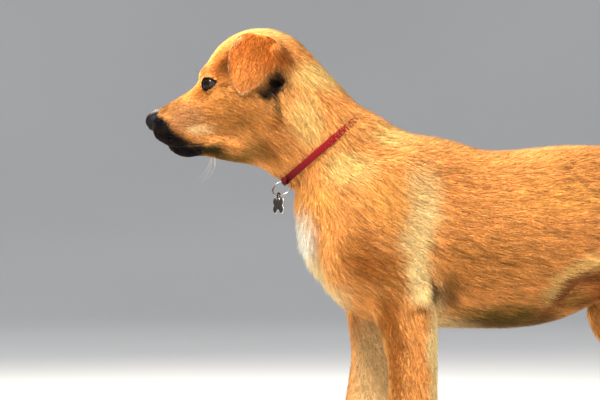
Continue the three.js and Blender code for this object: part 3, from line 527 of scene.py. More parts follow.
def folds(x, y, z):
    """Creases behind the ear, under the elbow and down the foreleg."""
    side, leg_y = np.abs(x), forelimb_back(x, y, z)
    creases = np.minimum(ear_crease(side, y, z), ear_pit(side, y, z))
    creases = np.minimum(creases, flank_crease(side, y, z))
    grooves = smooth_min(leg_groove(side, leg_y, z), elbow_crease(side, leg_y, z), 2)
    grooves = np.minimum(grooves, elbow_gap(side, leg_y, z))
    return np.minimum(creases, grooves)


def elbow(x, y, z):
    return elbow_knob(np.abs(x), forelimb_back(x, y, z), z) + ELBOW_SUNK


def skin_field(x, y, z):
    """The skin: the coated form, less the coat's depth, with its folds, ears, lips and lids."""
    body = coated(x, y, z) + depth_at(x, y, z)
    body = smooth_min(body, flank_fold(np.abs(x), y, z), 12)
    body = smooth_max(body, -folds(x, y, z), 2.5)
    body = smooth_min(smooth_min(body, elbow(x, y, z), 6), ear_base(x, y, z) + 1, 14)
    body = smooth_min(body, ear_leaf(x, y, z), 4)
    near_head = (y < -170) & (z > 365)
    if not near_head.any():
        return body
    hx, hy, hz = x[near_head], y[near_head], z[near_head]
    d = body[near_head]
    along, up = HEAD.local(hy, hz)
    lips = np.maximum(np.abs(mouth_line(along, up)) - LIP_GAP, LIP_CORNER - along)
    d = smooth_max(d, -np.maximum(lips, -LIP_DEPTH - d), 1.2)
    d = smooth_max(d, -(nose_pad(hx, hy, hz) + PAD_SUNK), 1)
    d = smooth_max(d, -nostril(hx, hy, hz) + 0.5, 1)
    distance, ahead, back, high = eye_places(hx, hy, hz)
    d = smooth_max(d, EYE_RADIUS + SOCKET_GAP - distance, 1)
    shell = np.abs(distance - EYE_RADIUS - LID_ROUND) - LID_HALF
    lid = smooth_max(np.maximum(shell, -ahead), -slit(back, high), 0.8)
    d = smooth_min(d, lid, 2.2)
    body[near_head] = np.maximum(d, EYE_RADIUS + EYE_GAP - distance)
    return body


# ------------------------------------------------------------------ meshing
def graded(*stretches):
    """Grid lines through (start, end, step) stretches, each meeting the next."""
    lines = [np.array([stretches[0][0]], float)]
    for start, end, step in stretches:
        count = max(round((end - start) / step), 1)
        lines.append(start + (end - start) * np.arange(1, count + 1) / count)
    return np.concatenate(lines)


def near_samples(field, axes, stride=4, band=11.0):
    """The field on a grid: worked out closely near the surface, and roughly elsewhere."""
    picks = [np.unique(np.append(np.arange(0, len(a), stride), len(a) - 1)) for a in axes]
    rough_axes = [a[p] for a, p in zip(axes, picks)]
    grid = np.meshgrid(*rough_axes, indexing="ij")
    rough = field(*(g.ravel() for g in grid)).reshape(grid[0].shape)
    for n, (fine, coarse) in enumerate(zip(axes, rough_axes)):
        i = np.clip(np.searchsorted(coarse, fine, side="right") - 1, 0, len(coarse) - 2)
        t = (fine - coarse[i]) / (coarse[i + 1] - coarse[i])
        shape = [1, 1, 1]
        shape[n] = -1
        t = t.reshape(shape)
        rough = np.take(rough, i, n) * (1 - t) + np.take(rough, i + 1, n) * t
    close = np.nonzero(np.abs(rough) < band)
    rough[close] = field(*(a[c] for a, c in zip(axes, close)))
    return rough


def slope_of(field, points, reach=0.4):
    """The field's gradient at each point."""
    columns = []
    for n in range(3):
        step = np.zeros(3)
        step[n] = reach
        ahead, behind = points + step, points - step
        columns.append((field(*ahead.T) - field(*behind.T)) / (2 * reach))
    return np.stack(columns, 1)


def settle(field, points, rounds=2, limit=2.0):
    """Points moved along the field's slope onto its surface."""
    for _ in range(rounds):
        slope = slope_of(field, points)
        steep = np.maximum((slope ** 2).sum(1), 0.25)
        move = np.clip(field(*points.T) / steep, -limit, limit)
        points = points - move[:, None] * slope
    return points


def net(field, axes):
    """Vertices and quads of the field's surface: a vertex in each crossed cell."""
    values = near_samples(field, axes)
    inside = values < 0
    cells = np.zeros([n - 1 for n in values.shape], int)
    for corner in np.ndindex(2, 2, 2):
        cells += inside[tuple(slice(c, c + n) for c, n in zip(corner, cells.shape))]
    crossed = np.nonzero((cells > 0) & (cells < 8))
    number = np.full(cells.shape, -1)
    number[crossed] = np.arange(len(crossed[0]))
    total, count = np.zeros((len(crossed[0]), 3)), np.zeros(len(crossed[0]))
    for n, da, db in np.ndindex(3, 2, 2):
        corner = [c.copy() for c in crossed]
        corner[(n + 1) % 3] += da
        corner[(n + 2) % 3] += db
        far = [c + (m == n) for m, c in enumerate(corner)]
        v, w = values[tuple(corner)], values[tuple(far)]
        cut = (v < 0) != (w < 0)
        t = np.where(cut, v / np.where(cut, v - w, 1), 0)
        for m in range(3):
            low, high = axes[m][corner[m]], axes[m][far[m]]
            total[:, m] += np.where(cut, low + t * (high - low), 0)
        count += cut
    vertices = total / count[:, None]
    quads = []
    for n in range(3):
        a, b = (n + 1) % 3, (n + 2) % 3
        here = [slice(1, -1)] * 3
        here[n] = slice(0, -1)
        there = list(here)
        there[n] = slice(1, None)
        first, second = inside[tuple(here)], inside[tuple(there)]
        edges = np.nonzero(first != second)
        base = [e + (0 if m == n else 1) for m, e in enumerate(edges)]
        ring = []
        for p, q in ((1, 1), (0, 1), (0, 0), (1, 0)):
            cell = list(base)
            cell[a] = cell[a] - p
            cell[b] = cell[b] - q
            ring.append(number[tuple(cell)])
        ring = np.stack(ring, 1)
        flip = ~first[edges]
        ring[flip] = ring[flip][:, ::-1]
        quads.append(ring)
    return vertices, np.concatenate(quads)


# ------------------------------------------------------------------ noise
def hashed(cells, seed):
    """A repeatable number from 0 to 1 for each whole-numbered cell."""
    c = cells.astype(np.uint32)
    h = (c[..., 0] * np.uint32(73856093)) ^ (c[..., 1] * np.uint32(19349663))
    h ^= (c[..., 2] * np.uint32(83492791)) ^ np.uint32(seed * 2654435761 % 2 ** 32)
    h = (h ^ (h >> 13)) * np.uint32(1274126177)
    return ((h ^ (h >> 16)) & 0xFFFFFF) / 0xFFFFFF


NOISE_TURN = np.array(Euler((0.7, 0.4, 1.1)).to_matrix())


def noise(points, size, seed=0):
    """Smooth noise from -1 to 1 with features about `size` across."""
    p = np.asarray(points) @ NOISE_TURN / size + 1000
    cell = np.floor(p).astype(int)
    t = p - cell
    t = t * t * (3 - 2 * t)
    total = np.zeros(len(p))
    for corner in np.ndindex(2, 2, 2):
        weight = np.prod(np.where(corner, t, 1 - t), axis=1)
        total += weight * hashed(cell + corner, seed)
    return 2 * total - 1


def nearest_lock(points, size, seed):
    """The centre of the lock that each point belongs to, and a number of the lock's own."""
    base = np.floor(points / size).astype(int)
    best = np.full(len(points), np.inf)
    centre, own = np.zeros_like(points), np.zeros(len(points))
    for offset in np.ndindex(3, 3, 3):
        cell = base + np.array(offset) - 1 + 4096
        place = (cell - 4096 + np.stack([hashed(cell, seed + n) for n in range(3)], 1)) * size
        gap = ((place - points) ** 2).sum(1)
        closer = gap < best
        best[closer] = gap[closer]
        centre[closer] = place[closer]
        own[closer] = hashed(cell[closer], seed + 3)
    return centre, own


# ------------------------------------------------------------------ markings
def from_srgb(colour):
    c = np.asarray(colour, float)
    return np.where(c <= 0.04045, c / 12.92, ((c + 0.055) / 1.055) ** 2.4)


GOLD = (0.95, 0.66, 0.36)
SHADES = {
    "pale gold": (1.0, 0.85, 0.53),
    "amber": (0.97, 0.70, 0.36),
    "rust": (0.78, 0.42, 0.15),
    "deep rust": (0.62, 0.32, 0.09),
    "tan": (0.78, 0.52, 0.25),
    "brown": (0.64, 0.36, 0.11),
    "russet": (0.58, 0.33, 0.16),
    "umber": (0.36, 0.21, 0.08),
    "straw": (1.0, 0.88, 0.62),
    "fawn": (0.68, 0.47, 0.29),
    "bistre": (0.27, 0.21, 0.08),
    "blush": (0.99, 0.80, 0.58),
    "olive": (0.50, 0.37, 0.14),
    "cream": (0.99, 0.87, 0.64),
    "white": (1.0, 0.97, 0.89),
    "soot": (0.075, 0.06, 0.065),
    "ear dark": (0.09, 0.035, 0.02),
    "lid rim": (0.07, 0.05, 0.05),
}
MARK_REACH, MARK_SOFT = 1.5, 1.05    # a mark ends, and how far it fades, in shares of its radii
# place on the left side, radii (sideways, back, up), shade, strength; later rows lie over earlier
MARKINGS = [
    ((0, 60, 402), (46, 240, 22), "pale gold", 0.12),
    ((80, 30, 262), (40, 50, 30), "tan", 0.75),
    ((78, 110, 262), (40, 40, 26), "tan", 0.35),
    ((70, 120, 330), (45, 60, 20), "amber", 0.6),
    ((40, 150, 376), (60, 60, 26), "tan", 0.4),
    # painted shade: olive and bistre on the belly and low flanks, where the underside gets little light
    ((56, 52, 200), (34, 70, 15), "olive", 0.95),
    ((34, 64, 192), (44, 90, 12), "bistre", 0.85),
    ((50, 118, 220), (30, 34, 12), "olive", 0.6),
    ((0, 70, 182), (10, 150, 6), "cream", 0.4),
    ((0, 240, 215), (34, 60, 60), "cream", 0.8),
    # painted shade along the belly's edge
    ((44, 144, 212), (30, 20, 9), "olive", 0.85),
    # the legs' inner sides: a paler coat, lightened further as painted light where the legs stand in
    # shade
    ((32, -70, 140), (14, 70, 90), "cream", 0.7),
    ((34, 250, 140), (14, 70, 90), "blush", 0.7),
    ((80, -70, 330), (36, 28, 34), "amber", 0.8),
    # painted shade: brown on the lower shoulder and upper arm, where the form turns from the light
    ((78, -108, 274), (36, 22, 26), "brown", 0.7),
    ((78, -84, 254), (36, 26, 19), "brown", 0.75),
    ((70, -112, 300), (36, 16, 22), "tan", 0.5),
    ((70, -66, 236), (36, 20, 20), "tan", 0.5),
    ((64, -72, 206), (24, 14, 24), "brown", 0.8),
    ((70, -63, 150), (16, 11, 60), "brown", 0.8),
    ((60, -18, 160), (24, 10, 72), "straw", 0.95),
    ((80, 4, 250), (26, 16, 36), "tan", 0.6),
    # painted highlight on the elbow's point
    ((76, -32, 228), (20, 14, 17), "straw", 0.9),
    # painted shade in the gap behind the elbow
    ((64, -8, 232), (16, 12, 18), "umber", 0.7),
    # painted highlight: the pale band behind the shoulder, where the coat's lie catches the light
    ((82, -36, 350), (26, 20, 34), "straw", 0.75),
    ((82, -36, 314), (26, 19, 26), "straw", 0.8),
    ((82, -45, 286), (26, 19, 24), "straw", 0.9),
    ((82, -41, 256), (26, 16, 24), "straw", 1.0),
    # painted highlight: paler gold on the withers, nape and neck, where the light from above falls
    ((60, -68, 400), (70, 28, 15), "pale gold", 0.8),
    ((0, -150, 466), (60, 32, 18), "pale gold", 0.9),
    ((50, -160, 420), (20, 20, 30), "pale gold", 0.75),
    ((60, -116, 366), (40, 26, 22), "pale gold", 0.9),
    ((50, -150, 330), (30, 20, 22), "amber", 0.8),
    ((20, -40, 140), (22, 60, 90), "cream", 0.6),
    ((0, -160, 286), (42, 22, 36), "white", 1.0),
    ((10, -146, 256), (44, 22, 22), "cream", 0.95),
    ((20, -128, 232), (42, 22, 17), "cream", 0.9),
    ((50, -100, 12), (26, 22, 14), "cream", 0.5),
    ((55, 225, 12), (26, 22, 14), "cream", 0.5),
    ((0, 305, 290), (16, 16, 60), "cream", 0.5),
    ((0, 340, 160), (14, 20, 36), "rust", 0.5),
    # painted highlight: paler gold on the crown's top, where the light from above falls
    ((0, -209, 512), (42, 42, 9), "pale gold", 0.6),
    ((36, -252, 476), (26, 17, 24), "rust", 0.8),
    ((40, -249, 473), (20, 11, 16), "brown", 0.75),
    ((42, -246, 477), (18, 11, 17), "umber", 0.75),
    (at_head(30, 0, 4), (34, 30, 16), "tan", 0.7),
    ((36, -258, 432), (30, 40, 30), "tan", 0.6),
    ((48, -246, 426), (26, 28, 22), "tan", 0.9),
    (at_head(16, 18, -2), (10, 16, 9), "tan", 0.6),
    (at_head(38, 28, -26), (18, 24, 15), "fawn", 0.95),
    ((48, -213, 414), (22, 15, 22), "tan", 0.85),
    # painted shade: olive under the jaw and on the throat, where shade falls
    ((40, -214, 384), (24, 14, 11), "olive", 0.6),
    ((20, -242, 373), (24, 24, 9), "olive", 1.0),
    ((0, -225, 352), (24, 40, 12), "olive", 0.6),
    ((34, -247, 391), (18, 12, 7), "tan", 0.6),
    (at_head(28, 27, -43), (16, 14, 5), "cream", 0.6),
    ((28, -262, 382), (22, 14, 10), "bistre", 1.0),
    ((24, -268, 384), (20, 10, 5), "bistre", 1.0),
    ((14, -259, 372), (12, 5, 4), "soot", 0.9),
    # painted shade: brown on the lower cheek in front of the collar, where the coat folds
    ((36, -200, 380), (24, 10, 18), "brown", 0.5),
    ((26, -271, 472), (16, 3.5, 6), "umber", 0.85),
    ((26, -268, 441), (14, 3, 4), "umber", 0.7),
    ((22, -278, 445), (14, 3.5, 6), "brown", 0.75),
    ((26, -271, 449), (14, 3.5, 4), "soot", 0.9),
    ((40, -248, 453), (12, 11, 1.6), "umber", 0.9),
    (at_head(60, 0, -6), (16, 12, 10), "umber", 0.85),
    (at_head(46, 8, -8), (22, 12, 10), "umber", 0.55),
    (at_head(14, 24, -6), (12, 12, 8), "brown", 0.6),
    ((42, -190, 483), (16, 13, 20), "deep rust", 1.0),
    # painted shade in the crease that runs down from under the ear
    ((48, -191, 430), (13, 5.5, 17), "bistre", 1.0),
    ((48, -195, 410), (13, 7, 14), "brown", 0.6),
]
# the dark hollow behind and under the ear, its dark hair deepened as painted shadow of the leaf: place,
# radii (back, up); it ends inwards of the leaf
HOLLOW = [((-191, 456), (13, 13)), ((-198, 447), (13, 8)), ((-209, 445), (9, 4))]
HOLLOW_OUT = 49
# a line down the left side, how soft its edge is, how far out it begins, shade, strength
STROKES = [
    # painted highlight along the flank fold's ridge
    ([(40, 158, 262, 3), (40, 136, 258, 3), (40, 116, 250, 3), (40, 106, 238, 3), (40, 99, 226, 2)],
     9, 30, "pale gold", 0.7),
    # painted shade in the crease under the flank fold
    ([(40, 168, 250, 3), (40, 137, 245, 3.5), (40, 122, 238, 4), (40, 115, 228, 3.5), (40, 109, 217, 3),
      (40, 96, 206, 2.5), (40, 84, 197, 1.5)], 5, 30, "russet", 0.85),
    # painted shade in the gap behind the elbow
    ([(40, -27, 249, 0.3), (40, -24, 240, 1.3), (40, -21, 231, 1.5), (40, -20, 223, 0.6)],
     2.5, 50, "umber", 0.9),
    # painted shade in the crease under the elbow
    ([(40, -48, 208, 0.2), (40, -36, 210, 1.2), (40, -31, 212, 0.5)], 2, 60, "brown", 0.8),
]
# the mask's upper border in the head's frame (along, up), and how far it fades
MASK = ([20, 26, 36, 42, 48, 55, 58, 66, 80], [-62, -56, -52, -48, -41, -29, -19, -3, 12])
SOOT_EDGE = 6.5


def lay(colour, cover, shade):
    """Lays a shade over the colours, in place."""
    colour += cover[:, None] * (from_srgb(SHADES[shade]) - colour)


def ear_markings(colour, side, on_ear):
    """The leaf's rust, its brown top, its pale free edge with painted highlight, and the dark hollow
    behind it with painted shadow.
    """
    down, back = flap_places(side[:, 1], side[:, 2])
    lay(colour, np.where(on_ear, np.clip(1.08 - down / 80, 0.38, 0.95), 0.0), "rust")
    brown_top = np.clip(1.4 - np.hypot((down - 8) / 15, (back - 5) / 13), 0, 1)
    lay(colour, 0.5 * np.where(on_ear, brown_top, 0), "brown")
    from_edge = np.minimum(through(*FLAP_WIDTH, down) - np.abs(back), FLAP["length"] - down)
    lay(colour, np.where(on_ear, np.clip((-1.5 - from_edge) / 3, 0, 1), 0.0), "deep rust")
    inwards = np.where(on_ear, np.clip((HOLLOW_OUT - side[:, 0]) / 2, 0, 1), 1) * (side[:, 0] > 20)
    # painted shadow under the ear's leaf, laid over the hollow's dark hair
    for place, radii in HOLLOW:
        far = np.sqrt((((side[:, 1:] - place) / radii) ** 2).sum(1))
        lay(colour, np.clip((MARK_REACH - far) / MARK_SOFT, 0, 1) * inwards, "ear dark")
    # the free edge: pale hair, brightened as painted highlight where the edge catches the light
    free_edge = on_ear & (down > 4) & ((back < 0) | (down > 36))
    rim = np.clip(1.2 - np.abs(from_edge) / 2.2, 0, 0.7)
    lay(colour, np.where(free_edge, rim, 0.0), "blush")


def mask_markings(colour, p, speck):
    """The dark mask round the mouth, and the brown that it fades into."""
    along, up = HEAD.local(p[:, 1], p[:, 2])
    under = (through(*MASK, along) - up) / SOOT_EDGE
    on_muzzle = p[:, 1] < -200
    end = 23 + 0.8 * np.clip(-58 - up, 0, 16)
    soot = np.clip(under + 0.3, 0, 1) * np.clip((along - end) / 7 + 0.1 * speck, 0, 1)
    brown = np.clip(under + 1.4, 0, 1) * np.clip((along - 40) / 8, 0, 1)
    lay(colour, 0.55 * brown * on_muzzle, "umber")
    lay(colour, soot * on_muzzle * (1 - 0.08 * speck), "soot")


def markings(points, on_ear):
    """The coat's colour at each point, as linear light."""
    p = np.array(points, float)
    speck = noise(p, 7, 11)
    p += np.stack([noise(p, 16, 12 + n) for n in range(3)], 1) * 4
    side = p.copy()
    side[:, 0] = np.abs(side[:, 0])
    colour = np.tile(from_srgb(GOLD), (len(p), 1))
    for place, radii, shade, strength in MARKINGS:
        far = np.sqrt((((side - place) / radii) ** 2).sum(1))
        cover = np.clip((MARK_REACH - far) / MARK_SOFT, 0, 1)
        lay(colour, strength * cover * cover * (3 - 2 * cover), shade)
    for line, soft, inward, shade, strength in STROKES:
        middle = np.full(len(side), line[0][0], float)
        cover = np.clip(1 - chain(line)(middle, side[:, 1], side[:, 2]) / soft, 0, 1)
        lay(colour, strength * cover * (side[:, 0] > inward), shade)
    ear_markings(colour, side, on_ear)
    mask_markings(colour, p, speck)
    return colour * (1 + 0.10 * speck)[:, None]


# ------------------------------------------------------------------ meshes
def mesh_object(name, points, loops, face_sizes):
    """A mesh from anatomy points and its faces' corners, all in one run."""
    mesh = bpy.data.meshes.new(name)
    loops, face_sizes = np.asarray(loops, np.int32), np.asarray(face_sizes, np.int32)
    mesh.vertices.add(len(points))
    mesh.vertices.foreach_set("co", to_row(points).astype(np.float32).ravel())
    mesh.loops.add(len(loops))
    mesh.loops.foreach_set("vertex_index", loops)
    mesh.polygons.add(len(face_sizes))
    starts = np.concatenate([[0], np.cumsum(face_sizes)[:-1]]).astype(np.int32)
    mesh.polygons.foreach_set("loop_start", starts)
    mesh.polygons.foreach_set("use_smooth", np.full(len(face_sizes), True))
    mesh.update(calc_edges=True)
    mesh.validate()
    piece = bpy.data.objects.new(name, mesh)
    bpy.context.scene.collection.objects.link(piece)
    return piece


def rings_object(name, shells, close=True):
    """One mesh of shells, each a stack of rings of points. `close` caps each shell's ends."""
    points, faces, sizes, start = [], [], [], 0
    for rings in shells:
        rings = np.asarray(rings, float)
        n, m = rings.shape[:2]
        at = start + np.arange(n * m).reshape(n, m)
        beside = np.roll(at, -1, 1)
        quads = np.stack([at[:-1], beside[:-1], beside[1:], at[1:]], -1)
        faces.append(quads.ravel())
        sizes += [4] * ((n - 1) * m)
        if close:
            faces += [at[0, ::-1], at[-1]]
            sizes += [m, m]
        points.append(rings.reshape(-1, 3))
        start += n * m
    return mesh_object(name, np.concatenate(points), np.concatenate(faces), sizes)


COLOUR_LAYER = "coat_colour"


def paint(piece, colours):
    """Stores a linear colour on each vertex."""
    layer = piece.data.color_attributes.new(COLOUR_LAYER, "FLOAT_COLOR", "POINT")
    rgba = np.ones((len(colours), 4), np.float32)
    rgba[:, :3] = colours
    layer.data.foreach_set("color", rgba.ravel())


def finish_piece(piece, slot, material, *nodes):
    """Gives a piece its material and body, and hides the nodes that it replaces. The slot is not used.
    """
    piece.data.materials.append(material)
    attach(piece, "root")
    if nodes:
        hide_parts(*nodes)


# ------------------------------------------------------------------ materials
class Nodes:
    """A material's nodes, made and joined by short calls."""

    def __init__(self, name):
        self.material = bpy.data.materials.new(name)
        self.material.use_nodes = True
        self.tree = self.material.node_tree
        self.shader = self.tree.nodes["Principled BSDF"]

    def add(self, kind, settings=None, **inputs):
        node = self.tree.nodes.new(kind)
        for key, value in (settings or {}).items():
            setattr(node, key, value)
        for key, value in inputs.items():
            self.put(node, key.replace("_", " "), value)
        return node

    def put(self, node, socket, value):
        """Joins a socket to the named input, or sets the input to a constant."""
        target = node.inputs[socket] if socket in node.inputs else node.inputs[int(socket[1:])]
        if isinstance(value, bpy.types.NodeSocket):
            self.tree.links.new(value, target)
        else:
            target.default_value = value

    def shade(self, **inputs):
        for key, value in inputs.items():
            self.put(self.shader, key.replace("_", " "), value)
        return self.material

    def place(self):
        return self.add("ShaderNodeTexCoord").outputs["Object"]

    def stored_colour(self):
        return self.add("ShaderNodeAttribute", {"attribute_name": COLOUR_LAYER}).outputs["Color"]

    def noise(self, scale, detail, stretch=None):
        place = self.place()
        if stretch:
            place = self.add("ShaderNodeMapping", Vector=place, Scale=stretch).outputs[0]
        return self.add("ShaderNodeTexNoise", Vector=place, Scale=scale, Detail=detail,
                        Roughness=0.55).outputs["Fac"]

    def ramp(self, value, *stops):
        ramp = self.add("ShaderNodeValToRGB", Fac=value)
        elements = ramp.color_ramp.elements
        for element in list(elements)[1:]:
            elements.remove(element)
        elements[0].position, elements[0].color = stops[0][0], (*stops[0][1], 1)
        for position, colour in stops[1:]:
            elements.new(position).color = (*colour, 1)
        return ramp.outputs["Color"]

    def bump(self, height, strength, distance):
        return self.add("ShaderNodeBump", Height=height, Strength=strength,
                        Distance=distance).outputs["Normal"]

    def times(self, colour, factor):
        mix = self.add("ShaderNodeMix", {"data_type": "RGBA", "blend_type": "MULTIPLY"})
        mix.inputs["Factor"].default_value = 1
        self.tree.links.new(colour, mix.inputs["A"])
        self.tree.links.new(factor, mix.inputs["B"])
        return mix.outputs["Result"]


def grey(value):
    return (value, value, value)


def coat_material(name, roughness, bump_scale, bump_strength):
    """Hair: its own stored colour, mottled, with a soft sheen."""
    n = Nodes(name)
    colour = n.stored_colour()
    tone = n.ramp(n.noise(420, 2), (0.3, grey(0.8)), (0.7, grey(1.15)))
    fine = n.noise(bump_scale, 3)
    return n.shade(Base_Color=n.times(colour, tone), Roughness=roughness, Sheen_Weight=0.05,
                   Sheen_Roughness=0.35, Sheen_Tint=(1.0, 0.86, 0.62, 1), Specular_IOR_Level=0.1,
                   Normal=n.bump(fine, bump_strength, 0.0004))


# ------------------------------------------------------------------ the skin
SKIN_GRID = [
    graded((-96, -66, 5), (-66, 66, 1.7), (66, 96, 5)),
    graded((-352, -170, 1.6), (-170, 362, 5)),
    graded((-8, 60, 2.6), (60, 365, 5), (365, 532, 1.6)),
]
skin_points, skin_quads = net(skin_field, SKIN_GRID)
skin_points = settle(skin_field, skin_points)
skin_points[:, 2] = np.maximum(skin_points[:, 2], 0)
skin_normals = unit(slope_of(skin_field, skin_points))
leaf_gap = ear_leaf(*skin_points.T)
skin_on_ear = (leaf_gap < 1.5) & (leaf_gap < coated(*skin_points.T) + depth_at(*skin_points.T))

skin = mesh_object("skin", skin_points, skin_quads.ravel(), np.full(len(skin_quads), 4))
skin_colour = markings(skin_points, skin_on_ear)
distance, ahead, back, high = eye_places(*skin_points.T)
rim = np.clip((2.8 - np.abs(slit(back, high) - 0.6)) / 1.2, 0, 1) * (distance < 16) * (ahead > 0)
lay(skin_colour, rim, "lid rim")
paint(skin, skin_colour)
FLESH = ["head", "neck", "trunk", "tail"] + [
    f"{part}_{side}" for part in ("foreleg", "forepaw", "hindleg", "hindpaw", "ear")
    for side in ("left", "right")]
finish_piece(skin, "coat", coat_material("skin_short_coat", 0.8, 900, 0.5), *FLESH)


# ------------------------------------------------------------------ the coat
TUFTS = 352000      # before those on bare places are left out
SHAGGY = [list(COAT).index(name) for name in ("chest front", "chest low", "throat low", "buttock")]
COAT_SEED = 7
STRAYS = 0.05       # the share of tufts that stand a little off the coat
CROWDING = 0.85     # how much denser small tufts grow: 1 would keep their overlap the same
LOCK_SIZE = 6.0     # long tufts gather into locks about this far apart
ROOT_SUNK = 0.25    # how deep a tuft's base lies in the skin
EAR, HEAD_PART, NECK_PART, FORE_LEGS, HIND_LEGS, TAIL_PART, CHEST, BARREL, RUMP = range(9)
NAMES = ["ears", "head", "neck", "forelegs", "hindlegs", "tail", "chest", "barrel", "rump"]
UNDIVIDED = (EAR, NECK_PART, TAIL_PART)     # the others are split into a left and a right piece


def part_of(p, on_ear):
    """Which stretch of coat each point belongs to. Later rows win."""
    x, y, z = p.T
    along_head, along_neck = HEAD.local(y, z)[0], COLLAR.local(y, z)[0]
    part = np.full(len(p), BARREL)
    for name, where in (
            (CHEST, y < -15),
            (RUMP, y > 150),
            (FORE_LEGS, (y < 120) & (z < 205)),
            (CHEST, (y < 60) & (z > 175) & (np.abs(x) < 30)),
            (BARREL, (y > -5) & (y < 150) & (z > 150)),
            (HIND_LEGS, (y > 120) & (z < 215)),
            (TAIL_PART, (y > 305) & (np.abs(x) < 24) & (z > 120)),
            (NECK_PART, (y < -20) & (along_neck > -70) & (z > 300)),
            (HEAD_PART, (y < -100) & (along_head > -84) & (z > 370)),
            (EAR, on_ear)):
        part[where] = name
    return part


# the middle of each paired part (sideways, back), and of the tail and chest (back)
PAIR_MIDDLES = {EAR: (62, -198), FORE_LEGS: (52, -45), HIND_LEGS: (56, 255)}
UPRIGHT_MIDDLES = {TAIL_PART: 325, CHEST: -40}
BARREL_MIDDLE, HEAD_MIDDLE = 290, -25
MAP_EDGE, MAP_SPAN = 0.01, 0.975


def unwrap(p, part):
    """A place from 0 to 1 both ways for each root: round the part, and along it."""
    x, y, z = p.T
    if part in PAIR_MIDDLES:
        out, middle = PAIR_MIDDLES[part]
        turn = np.arctan2(np.abs(x) - out, y - middle) / TURN + 0.5
        turn, along = np.where(x > 0, 0.5, 0.0) + turn * 0.48 + MAP_EDGE, z
    else:
        if part in UPRIGHT_MIDDLES:
            turn, along = np.arctan2(x, UPRIGHT_MIDDLES[part] - y), z
        elif part in (BARREL, RUMP):
            turn, along = np.arctan2(x, z - BARREL_MIDDLE), y
        else:
            along, up = (HEAD if part == HEAD_PART else NECK).local(y, z)
            turn = np.arctan2(x, up - (HEAD_MIDDLE if part == HEAD_PART else 0))
        turn = turn / TURN + 0.5
    along = (along - along.min()) / max(np.ptp(along), 1)
    return np.stack([MAP_EDGE + MAP_SPAN * turn, MAP_EDGE + MAP_SPAN * along], 1)


def spread(points, quads, wanted, rng):
    """Roots spread over the skin's quads: their quads, and their places in them."""
    a, b, c, d = (points[quads[:, n]] for n in range(4))
    area = 0.5 * np.linalg.norm(np.cross(c - a, d - b), axis=1)
    due = np.cumsum(area * wanted)
    due *= TUFTS / due[-1]
    face = np.searchsorted(due, np.arange(TUFTS) + rng.random())
    return np.minimum(face, len(quads) - 1), rng.random(TUFTS), rng.random(TUFTS)


def turned(direction, normal, angle):
    """The direction turned about the normal."""
    across = np.cross(normal, direction)
    return direction * np.cos(angle)[:, None] + across * np.sin(angle)[:, None]


def in_batches(work, points, size=40000):
    return np.concatenate([work(points[i:i + size]) for i in range(0, len(points), size)])


def bare(points):
    """Where no coat grows: the eyes and their rims, the nose, the lips' edges and the soles."""
    gap, ahead, back, high = eye_places(*points.T)
    bald = (gap < 15) & (ahead > 0) & (slit(back, high) < 1.2)
    bald |= nose_pad(*points.T) < 0.8
    along, up = HEAD.local(points[:, 1], points[:, 2])
    on_lips = (along > 14) & (along < 80) & (points[:, 1] < -200)
    bald |= on_lips & (np.abs(mouth_line(along, up)) < 0.9)
    return bald | (points[:, 2] < 1.5)


def pressed(root, tip, normal, depth, rng):
    """Tips under the collar pressed flat, except at the nape, where the coat falls over it."""
    _, y, z = root.T
    start, up = COLLAR.local(y, z)
    end = COLLAR.local(tip[:, 1], tip[:, 2])[0]
    half = COLLAR_WIDTH / 2
    from_nape = np.degrees(np.arctan2(np.abs(root[:, 0]), up))
    beneath = (y < -60) & (y > -215) & (z > 300)
    beneath &= rng.random(len(root)) < np.interp(from_nape, [46, 66, 100, 140], [0, 0.7, 0.94, 1])
    beneath &= (start > -half - 1) & (end < half + 2) & (end > -half - 4)
    return tip - normal * np.where(beneath, 0.55 * depth, 0)[:, None]


def streaks(root, lie, size, step):
    """Noise drawn out along the lie of the coat."""
    return sum(noise(root + lie * step * n, size, 41) for n in (-2, -1, 0, 1, 2)) / 5


def rooted(rng):
    """Each tuft's root, the skin's normal there, and the coat's lie, sizes and shagginess."""
    point_shares = in_batches(shares, skin_points)
    sizes = point_shares @ SIZES
    sizes[skin_on_ear] = EAR_SIZES
    lies = point_shares @ LIES
    lies[skin_on_ear] = EAR_LIE
    lies[:, 0] *= np.sign(skin_points[:, 0])
    lies = flattened(lies, skin_normals)
    shaggy = point_shares[:, SHAGGY].sum(1, keepdims=True)
    room = sizes[skin_quads[:, 0]]
    face, u, v = spread(skin_points, skin_quads, 1 / (room[:, 1] * room[:, 2]) ** CROWDING, rng)
    corners = skin_quads[face]
    weight = np.stack([(1 - u) * (1 - v), u * (1 - v), u * v, (1 - u) * v])

    def between(values):
        return sum(weight[n][:, None] * values[corners[:, n]] for n in range(4))

    keep = ~bare(between(skin_points))
    weight, corners = weight[:, keep], corners[keep]
    root, normal, lie, size, shag = (
        between(values) for values in (skin_points, skin_normals, lies, sizes, shaggy))
    normal = unit(normal)
    return root, normal, flattened(lie, normal), size, shag[:, 0], skin_on_ear[corners[:, 0]]


